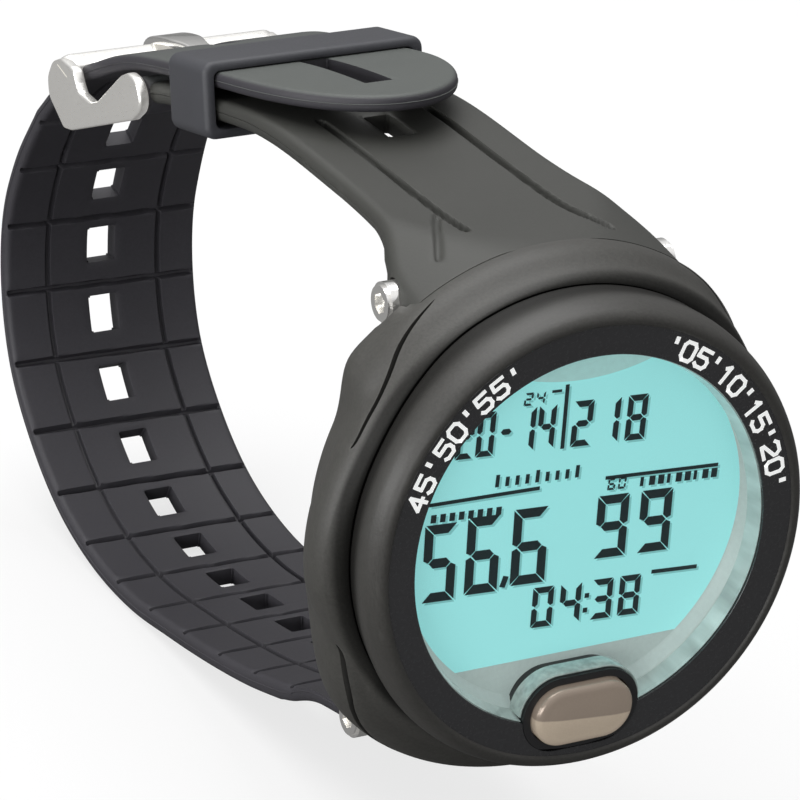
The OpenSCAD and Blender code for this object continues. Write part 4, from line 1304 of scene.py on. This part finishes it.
def build_button():
    levels = [(CAP_FOOT, 0.25), (CAP_FOOT + 0.15, 0.05), (CAP_FOOT + 0.4, 0.0),
              (CAP_TOP - 1.0, 0.0)]
    shoulder = 1.05                   # inset of the rounded shoulder
    for q in range(1, 9):
        a = math.pi / 2 * q / 8
        levels.append((CAP_TOP - 1.0 + 0.75 * math.sin(a), shoulder * (1 - math.cos(a))))
    for d in (1.5, 2.0, 2.5, 3.0, 3.3):
        rise = math.sin(min(1, (d - shoulder) / 2.25) * math.pi / 2)
        levels.append((CAP_TOP - 0.25 + 0.25 * rise, d))
    solid("button_crown", plate(oval(3.5, 2.7), levels, at_button), BRONZE,
          ("button_cap",), body="button")


build_button()

# ------------------------------------------------------------------ inside of the window
WALL_FOOT = 18.95
# (radius, height) of the sloped ring and of the window's side wall
SURROUND = [(20.95, 17.55), (21.3, 17.75), (21.9, 18.75), (22.2, 18.92), (22.95, 18.92),
            (22.95, 16.0), (21.7, 16.0), (21.7, 17.3)]
SIDE_WALL = [(21.98, WALL_FOOT), (21.98, RING_HEIGHT - 0.35), (21.88, RING_HEIGHT - 0.32),
             (21.8, 20.7), (21.55, 19.3), (21.5, WALL_FOOT)]


def build_apron():
    """Grey plate below the display, cut out round the button."""
    radius = 21.6
    start = math.asin(-LCD_LOWER_EDGE / radius)
    outline = [(radius * math.cos(t), radius * math.sin(t))
               for t in np.linspace(-math.pi + start, -start, 60)]
    apron = solid("display_apron",
                  plate(outline, [(16.3, 0), (17.25, 0), (17.4, 0.1)], on_face),
                  REFLECTOR)
    carve(apron, [button_cut(3.85, 10, 30)])


def build_arch():
    """Thin wall round the button, trimmed to the window."""
    top = RING_HEIGHT - 0.32
    # (inset, height) round the wall's section
    section = [(0.0, WALL_FOOT), (0.0, top - 0.08), (-0.06, top), (-0.2, top),
               (-0.26, top - 0.08), (-0.26, WALL_FOOT)]
    base = oval(4.6, BUTTON_SPAN)
    rings = [[at_button(u, v, h) for u, v in inset(base, d)] for d, h in section]
    arch = solid("window_arch", loft(rings, loop=True), LENS_EDGE)
    beyond = [(21.95, 10), (60, 10), (60, 30), (21.95, 30)]
    carve(arch, [cutter(sweep_face(lambda angle: beyond, 120))])


def side_wall_profile(angle):
    offset = rim_offset(angle, INNER_RIM)
    return [(r + offset, h) for r, h in SIDE_WALL]


def build_crescent():
    """Thin crescent at the top of the display."""
    radius, depth = 20.9, 1.55
    start, end = 66, 116              # degrees
    outline = [(radius * math.cos(t), radius * math.sin(t))
               for t in np.radians(np.linspace(start, end, 26))]
    for k in range(1, 25):
        f = k / 25
        outline.append((radius * math.cos(math.radians(end - (end - start) * f)),
                        radius * math.sin(math.radians(start))
                        - depth * math.sin(math.pi * f) ** 0.8))
    levels = [(LCD_HEIGHT + 0.12, 0), (LCD_HEIGHT + 0.3, 0.04)]
    solid("display_crescent", plate(outline, levels, on_face), CRESCENT)


solid("display_surround", sweep_face(lambda angle: SURROUND, 200), REFLECTOR,
      ("display_frame",))
build_apron()
build_arch()
# the window's inner wall: a glowing band whose streaks are painted reflections
side_wall = solid("window_wall", sweep_face(side_wall_profile, 200), WINDOW_WALL)
carve(side_wall, [button_cut(4.62, 10, 30)])
build_crescent()

# ------------------------------------------------------------------ display figures
# Figures are polygons in the display's own frame, which is turned a little on the face.
DISPLAY_TURN = math.radians(-3.2)
SEGMENTS = {"0": "abcdef", "1": "bc", "2": "abged", "3": "abgcd", "4": "fgbc", "5": "afgcd",
            "6": "afgedc", "8": "abcdefg", "9": "abcdfg", "-": "g"}


def turn(x, z, angle):
    return (x * math.cos(angle) - z * math.sin(angle),
            x * math.sin(angle) + z * math.cos(angle))


def to_display(x, z):
    return turn(x, z, -DISPLAY_TURN)


def stroke(start, end, width, extend=0.0):
    """Rectangle along a line, lengthened by extend at both ends."""
    a, b = np.array(start), np.array(end)
    along = (b - a) / np.linalg.norm(b - a)
    side = np.array([-along[1], along[0]]) * width / 2
    a, b = a - along * extend, b + along * extend
    return [a - side, b - side, b + side, a + side]


def digit(character, x, z, w, h, t, slant):
    """Seven-segment figure w by h with its lower left corner at (x, z); t is the stroke."""
    g = 0.07 * t + 0.05               # gap between segments
    k, m = t / 2, h / 2
    small, wide = g * 0.4, g * 0.6
    shapes = {
        "a": [(g, h), (w - g, h), (w - t, h - t), (t, h - t)],
        "d": [(t, t), (w - t, t), (w - g, 0), (g, 0)],
        "g": [(k + g, m), (t + g * 0.5, m + k), (w - t - g * 0.5, m + k), (w - k - g, m),
              (w - t - g * 0.5, m - k), (t + g * 0.5, m - k)],
        "f": [(0, h - g), (t - small, h - t - small), (t - small, m + k + wide), (k, m + g),
              (0, m + g + k * 0.5)],
        "b": [(w, h - g), (w, m + g + k * 0.5), (w - k, m + g), (w - t + small, m + k + wide),
              (w - t + small, h - t - small)],
        "e": [(0, g), (0, m - g - k * 0.5), (k, m - g), (t - small, m - k - wide),
              (t - small, t + small)],
        "c": [(w, g), (w - t + small, t + small), (w - t + small, m - k - wide), (w - k, m - g),
              (w, m - g - k * 0.5)]}
    return [[(x + u + slant * v, z + v) for u, v in shape]
            for name, shape in shapes.items() if name in SEGMENTS[character]]


def digit_row(text, left, right, height, thickness, gap):
    """Figures from the lower left corner to the lower right one; gap is a share of pitch."""
    (xa, za), (xb, zb) = left, right
    pitch = (xb - xa) / len(text)
    polygons = []
    for i, character in enumerate(text):
        z = za + (zb - za) * i / (len(text) - 1)
        polygons += digit(character, xa + pitch * i, z, pitch * (1 - gap), height, thickness,
                          slant=-0.02)
    return polygons


def display_figures():
    # top line
    shapes = digit_row("20-14", to_display(-15.9, 10.5), to_display(-3.4, 9.9),
                       height=5.2, thickness=0.66, gap=0.14)
    shapes.append(stroke(to_display(-2.45, 17.2), to_display(-2.55, 9.6), 0.46))
    shapes += digit_row("218", to_display(-1.6, 9.6), to_display(8.7, 9.0),
                        height=5.4, thickness=0.72, gap=0.27)
    # large figures and the mark between them: (figure, x, z, width, height)
    x0, z0 = to_display(-19.2, -6.4)
    for character, x, z, w, h in (("5", 0.3, 0.3, 4.0, 9.3), ("6", 5.55, 0.6, 4.1, 9.3),
                                  ("6", 11.25, 0.98, 4.35, 9.2)):
        shapes += digit(character, x0 + x, z0 + z, w, h, t=1.12, slant=-0.06)
    shapes.append(stroke((x0 + 10.65, z0 + 2.25), (x0 + 10.3, z0 + 0.95), 0.7))
    x0, z0 = to_display(2.9, -4.7)
    for x, w in ((-0.35, 4.0), (5.2, 4.05)):
        shapes += digit("9", x0 + x, z0, w, h=7.6, t=1.05, slant=-0.05)
    # lower line with its colon
    x0, z0 = to_display(-5.0, -11.8)
    for i, character in enumerate("0438"):
        x = x0 + 0.1 + 3.55 * i + (0.5 if i > 1 else 0)
        shapes += digit(character, x, z0, w=2.65, h=4.9, t=0.72, slant=-0.04)
    for z in (1.3, 3.1):
        shapes.append(stroke((x0 + 6.95, z0 + z - 0.28), (x0 + 6.95, z0 + z + 0.28), 0.55))
    # rules: (start, end, width)
    for start, end, width in (((-18.6, 5.6), (-5.0, 5.3), 0.42),
                              ((3.3, 5.05), (17.8, 4.2), 0.42),
                              ((10.3, -7.7), (16.2, -8.1), 0.46)):
        shapes.append(stroke(to_display(*start), to_display(*end), width))
    # small figures and scale marks
    x0, z0 = to_display(-7.8, 15.5)
    for i, character in enumerate("24"):
        shapes += digit(character, x0 + 1.5 * i, z0, w=1.05, h=1.5, t=0.24, slant=0.05)
    shapes.append(stroke((x0 + 3.4, z0 + 1.35), (x0 + 4.6, z0 + 1.35), 0.3))
    x0, z0 = to_display(-10.4, 6.35)
    for i in range(9):
        x, top = x0 + 1.25 * i, z0 + (1.1 if i % 4 else 1.45)
        shapes.append(stroke((x, z0), (x, top), 0.45))
    x0, z0 = to_display(-18.3, 4.0)
    for i in range(8):
        x = x0 + 1.15 * i
        shapes.append(stroke((x, z0 - 0.1), (x + 0.65, z0 - 0.1), 0.95))
    x0, z0 = to_display(3.6, 3.5)
    for i, character in enumerate("60"):
        shapes += digit(character, x0 + 1.35 * i, z0, w=0.95, h=1.4, t=0.24, slant=0.05)
    for i in range(9):
        x, length = x0 + 4.2 + 1.15 * i, 0.75 if i % 3 else 0.4
        shapes.append(stroke((x, z0 + 0.55), (x + length, z0 + 0.55), 1.1))
    return shapes


def prism(outline, bottom, top):
    k = len(outline)
    vertices = [on_face(x, z, h) for h in (bottom, top) for x, z in outline]
    faces = [tuple(range(k)), tuple(reversed(range(k, 2 * k)))]
    faces += [(i, k + i, k + (i + 1) % k, (i + 1) % k) for i in range(k)]
    return vertices, faces


def build_figures(name, polygons, bottom, top, mat, dx=0.0, dz=0.0):
    """Figures between two heights above the display, shifted in its frame."""
    turned = [[turn(x + dx, z + dz, DISPLAY_TURN) for x, z in polygon] for polygon in polygons]
    shape = join([prism(p, LCD_HEIGHT + bottom, LCD_HEIGHT + top) for p in turned])
    solid(name, shape, mat, angle=30)


figures = display_figures()
build_figures("lcd_figures", figures, 0.05, 0.10, SEGMENT)
build_figures("lcd_figure_shadows", figures, 0.005, 0.03, SHADOW, dx=0.34, dz=-0.30)

# ------------------------------------------------------------------ figures on the ring
# pen lines of each figure in a unit square
GLYPHS = {
    "0": [(0.2, 0), (0.8, 0), (1, 0.2), (1, 0.8), (0.8, 1), (0.2, 1), (0, 0.8), (0, 0.2),
          (0.2, 0)],
    "1": [(0.25, 0.8), (0.55, 1), (0.55, 0)],
    "2": [(0, 0.85), (0.2, 1), (0.8, 1), (1, 0.8), (1, 0.62), (0, 0.15), (0, 0), (1, 0)],
    "4": [(0.75, 0), (0.75, 1), (0, 0.32), (1, 0.32)],
    "5": [(1, 1), (0.1, 1), (0.05, 0.58), (0.8, 0.58), (1, 0.42), (1, 0.18), (0.8, 0),
          (0.2, 0), (0, 0.12)]}
# (numbers with their angles, tick angles), left then right
RING_SIDES = (
    ((("45", 157.0), ("50", 141.5), ("55", 126.0)), (149.3, 133.8, 118.3)),
    ((("05", 61.5), ("10", 46.0), ("15", 30.5), ("20", 15.0)), (69.2, 53.8, 38.3, 22.8, 7.3)))
FIGURE_RADIUS = 23.75


def ring_radius(degrees):
    """Middle radius of the figures, following the ring's two rims."""
    a = math.radians(degrees)
    return FIGURE_RADIUS + (rim_offset(a, OUTER_RIM) + rim_offset(a, INNER_RIM)) / 2


def ring_figure(character, degrees, height=2.1, width=1.6, thickness=0.44):
    radius = ring_radius(degrees)
    points = []
    for u, v in GLYPHS[character]:
        r = radius + (v - 0.5) * height
        a = math.radians(degrees) - (u - 0.5) * width / radius
        points.append((r * math.cos(a), r * math.sin(a)))
    return [stroke(a, b, thickness, extend=thickness * 0.35)
            for a, b in zip(points, points[1:])]


def ring_tick(degrees, inner=0.35, outer=1.2, width=0.5):
    a, radius = math.radians(degrees), ring_radius(degrees)
    return stroke(*(((radius + r) * math.cos(a), (radius + r) * math.sin(a))
                    for r in (inner, outer)), width)


def build_ring_figures():
    strokes = []
    half_pitch = 2.75                 # degrees from a number's middle to each figure
    for numbers, ticks in RING_SIDES:
        for (left, right), degrees in numbers:
            strokes += ring_figure(left, degrees + half_pitch)
            strokes += ring_figure(right, degrees - half_pitch)
        strokes += [ring_tick(degrees) for degrees in ticks]
    # heights step a little so that crossing strokes never share a plane
    shape = join([prism(s, RING_HEIGHT - 0.01, RING_HEIGHT + 0.03 + 0.004 * (i % 7))
                  for i, s in enumerate(strokes)])
    solid("ring_figures", shape, WHITE, angle=30, weld=1e-9)


build_ring_figures()

# ------------------------------------------------------------------ floor, world and lights


def build_floor():
    """Pale to the camera, dark to every other ray."""
    half = 3                          # metres, as is z
    z = cad_lo[2] - 0.0002
    me = bpy.data.meshes.new("floor")
    me.from_pydata([(-half, -half, z), (half, -half, z), (half, half, z), (-half, half, z)],
                   [], [(0, 1, 2, 3)])
    floor = add_object("floor", me)
    mat = bpy.data.materials.new("floor_pale")
    tree = empty_tree(mat)
    pale = node(tree, "BsdfDiffuse", {0: (0.9, 0.9, 0.9, 1)})
    glow = node(tree, "Emission", {1: 0.93})
    seen = node(tree, "MixShader", {0: 0.80, 1: pale.outputs[0], 2: glow.outputs[0]})
    dark = node(tree, "BsdfDiffuse", {0: (0.14, 0.14, 0.14, 1)})
    camera_ray = node(tree, "LightPath").outputs["Is Camera Ray"]
    shader = node(tree, "MixShader", {0: camera_ray, 1: dark.outputs[0], 2: seen.outputs[0]})
    node(tree, "OutputMaterial", {0: shader.outputs[0]})
    me.materials.append(mat)


def build_world():
    """White to the camera; as light, a grey sky that brightens upwards."""
    world = bpy.data.worlds.new("studio")
    scene.world = world
    tree = empty_tree(world)
    coords = node(tree, "TexCoord").outputs["Generated"]
    direction = node(tree, "SeparateXYZ", {0: coords}).outputs
    ramp = node(tree, "ValToRGB", {0: map_range(tree, direction["Z"], -1, 1)})
    stops = ramp.color_ramp.elements
    stops[0].position, stops[0].color = 0.0, (0.19, 0.19, 0.19, 1)
    stops[1].position, stops[1].color = 1.0, (1, 1, 1, 1)
    for position, grey in ((0.45, 0.27), (0.55, 0.34), (0.72, 0.5), (0.86, 0.93)):
        stops.new(position).color = (grey, grey, grey * 1.01, 1)
    strength = map_range(tree, direction["Y"], -0.8, 0.3, to_low=0.95, to_high=0.85)
    sky = node(tree, "Background", {0: ramp.outputs[0], 1: strength})
    white = node(tree, "Background", {0: (1, 1, 1, 1)})
    camera_ray = node(tree, "LightPath").outputs["Is Camera Ray"]
    shader = node(tree, "MixShader", {0: camera_ray, 1: sky.outputs[0], 2: white.outputs[0]})
    node(tree, "OutputWorld", {0: shader.outputs[0]})


def area_light(name, location, target, width, height, power):
    """Rectangular light aimed at target; metres and watts."""
    data = bpy.data.lights.new(name, "AREA")
    data.energy = power
    data.shape = "RECTANGLE"
    data.size = width
    data.size_y = height
    light = add_object(name, data)
    light.location = location
    light.rotation_mode = "QUATERNION"
    aim = Vector(target) - Vector(location)
    light.rotation_quaternion = aim.to_track_quat("-Z", "Y")


build_floor()
build_world()
area_light("softbox_top", location=(-0.05, 0.16, 0.75), target=(0, 0.03, 0),
           width=0.9, height=0.7, power=6.4)
area_light("softbox_left", location=(-0.85, 0.05, 0.02), target=(0, 0, -0.01),
           width=0.4, height=0.6, power=6.4)
area_light("softbox_front", location=(-0.62, -0.52, 0.12), target=(0, 0.02, -0.01),
           width=0.45, height=0.30, power=2.4)

# ------------------------------------------------------------------ camera
# rows are the camera's right, up and backward directions
CAMERA_AXES = np.array([[0.881983, -0.468037, 0.055211],
                        [0.149712, 0.389334, 0.908849],
                        [-0.44687, -0.793323, 0.413456]])
ORIGIN_FROM_CAMERA = np.array([11.0152, -6.7573, -505.3442])      # mm, along those axes

camera = bpy.data.cameras.new("camera")
camera.lens = 202.5
camera.sensor_width = 36
camera.clip_start, camera.clip_end = 0.01, 20
camera_object = add_object("camera", camera)
position = -CAMERA_AXES.T @ ORIGIN_FROM_CAMERA * MM
camera_object.matrix_world = Matrix(
    [[*CAMERA_AXES[:, i], position[i]] for i in range(3)] + [[0, 0, 0, 1]])
scene.camera = camera_object

scene.view_settings.view_transform = "Standard"
scene.view_settings.look = "None"
scene.view_settings.exposure = 0
scene.view_settings.gamma = 1
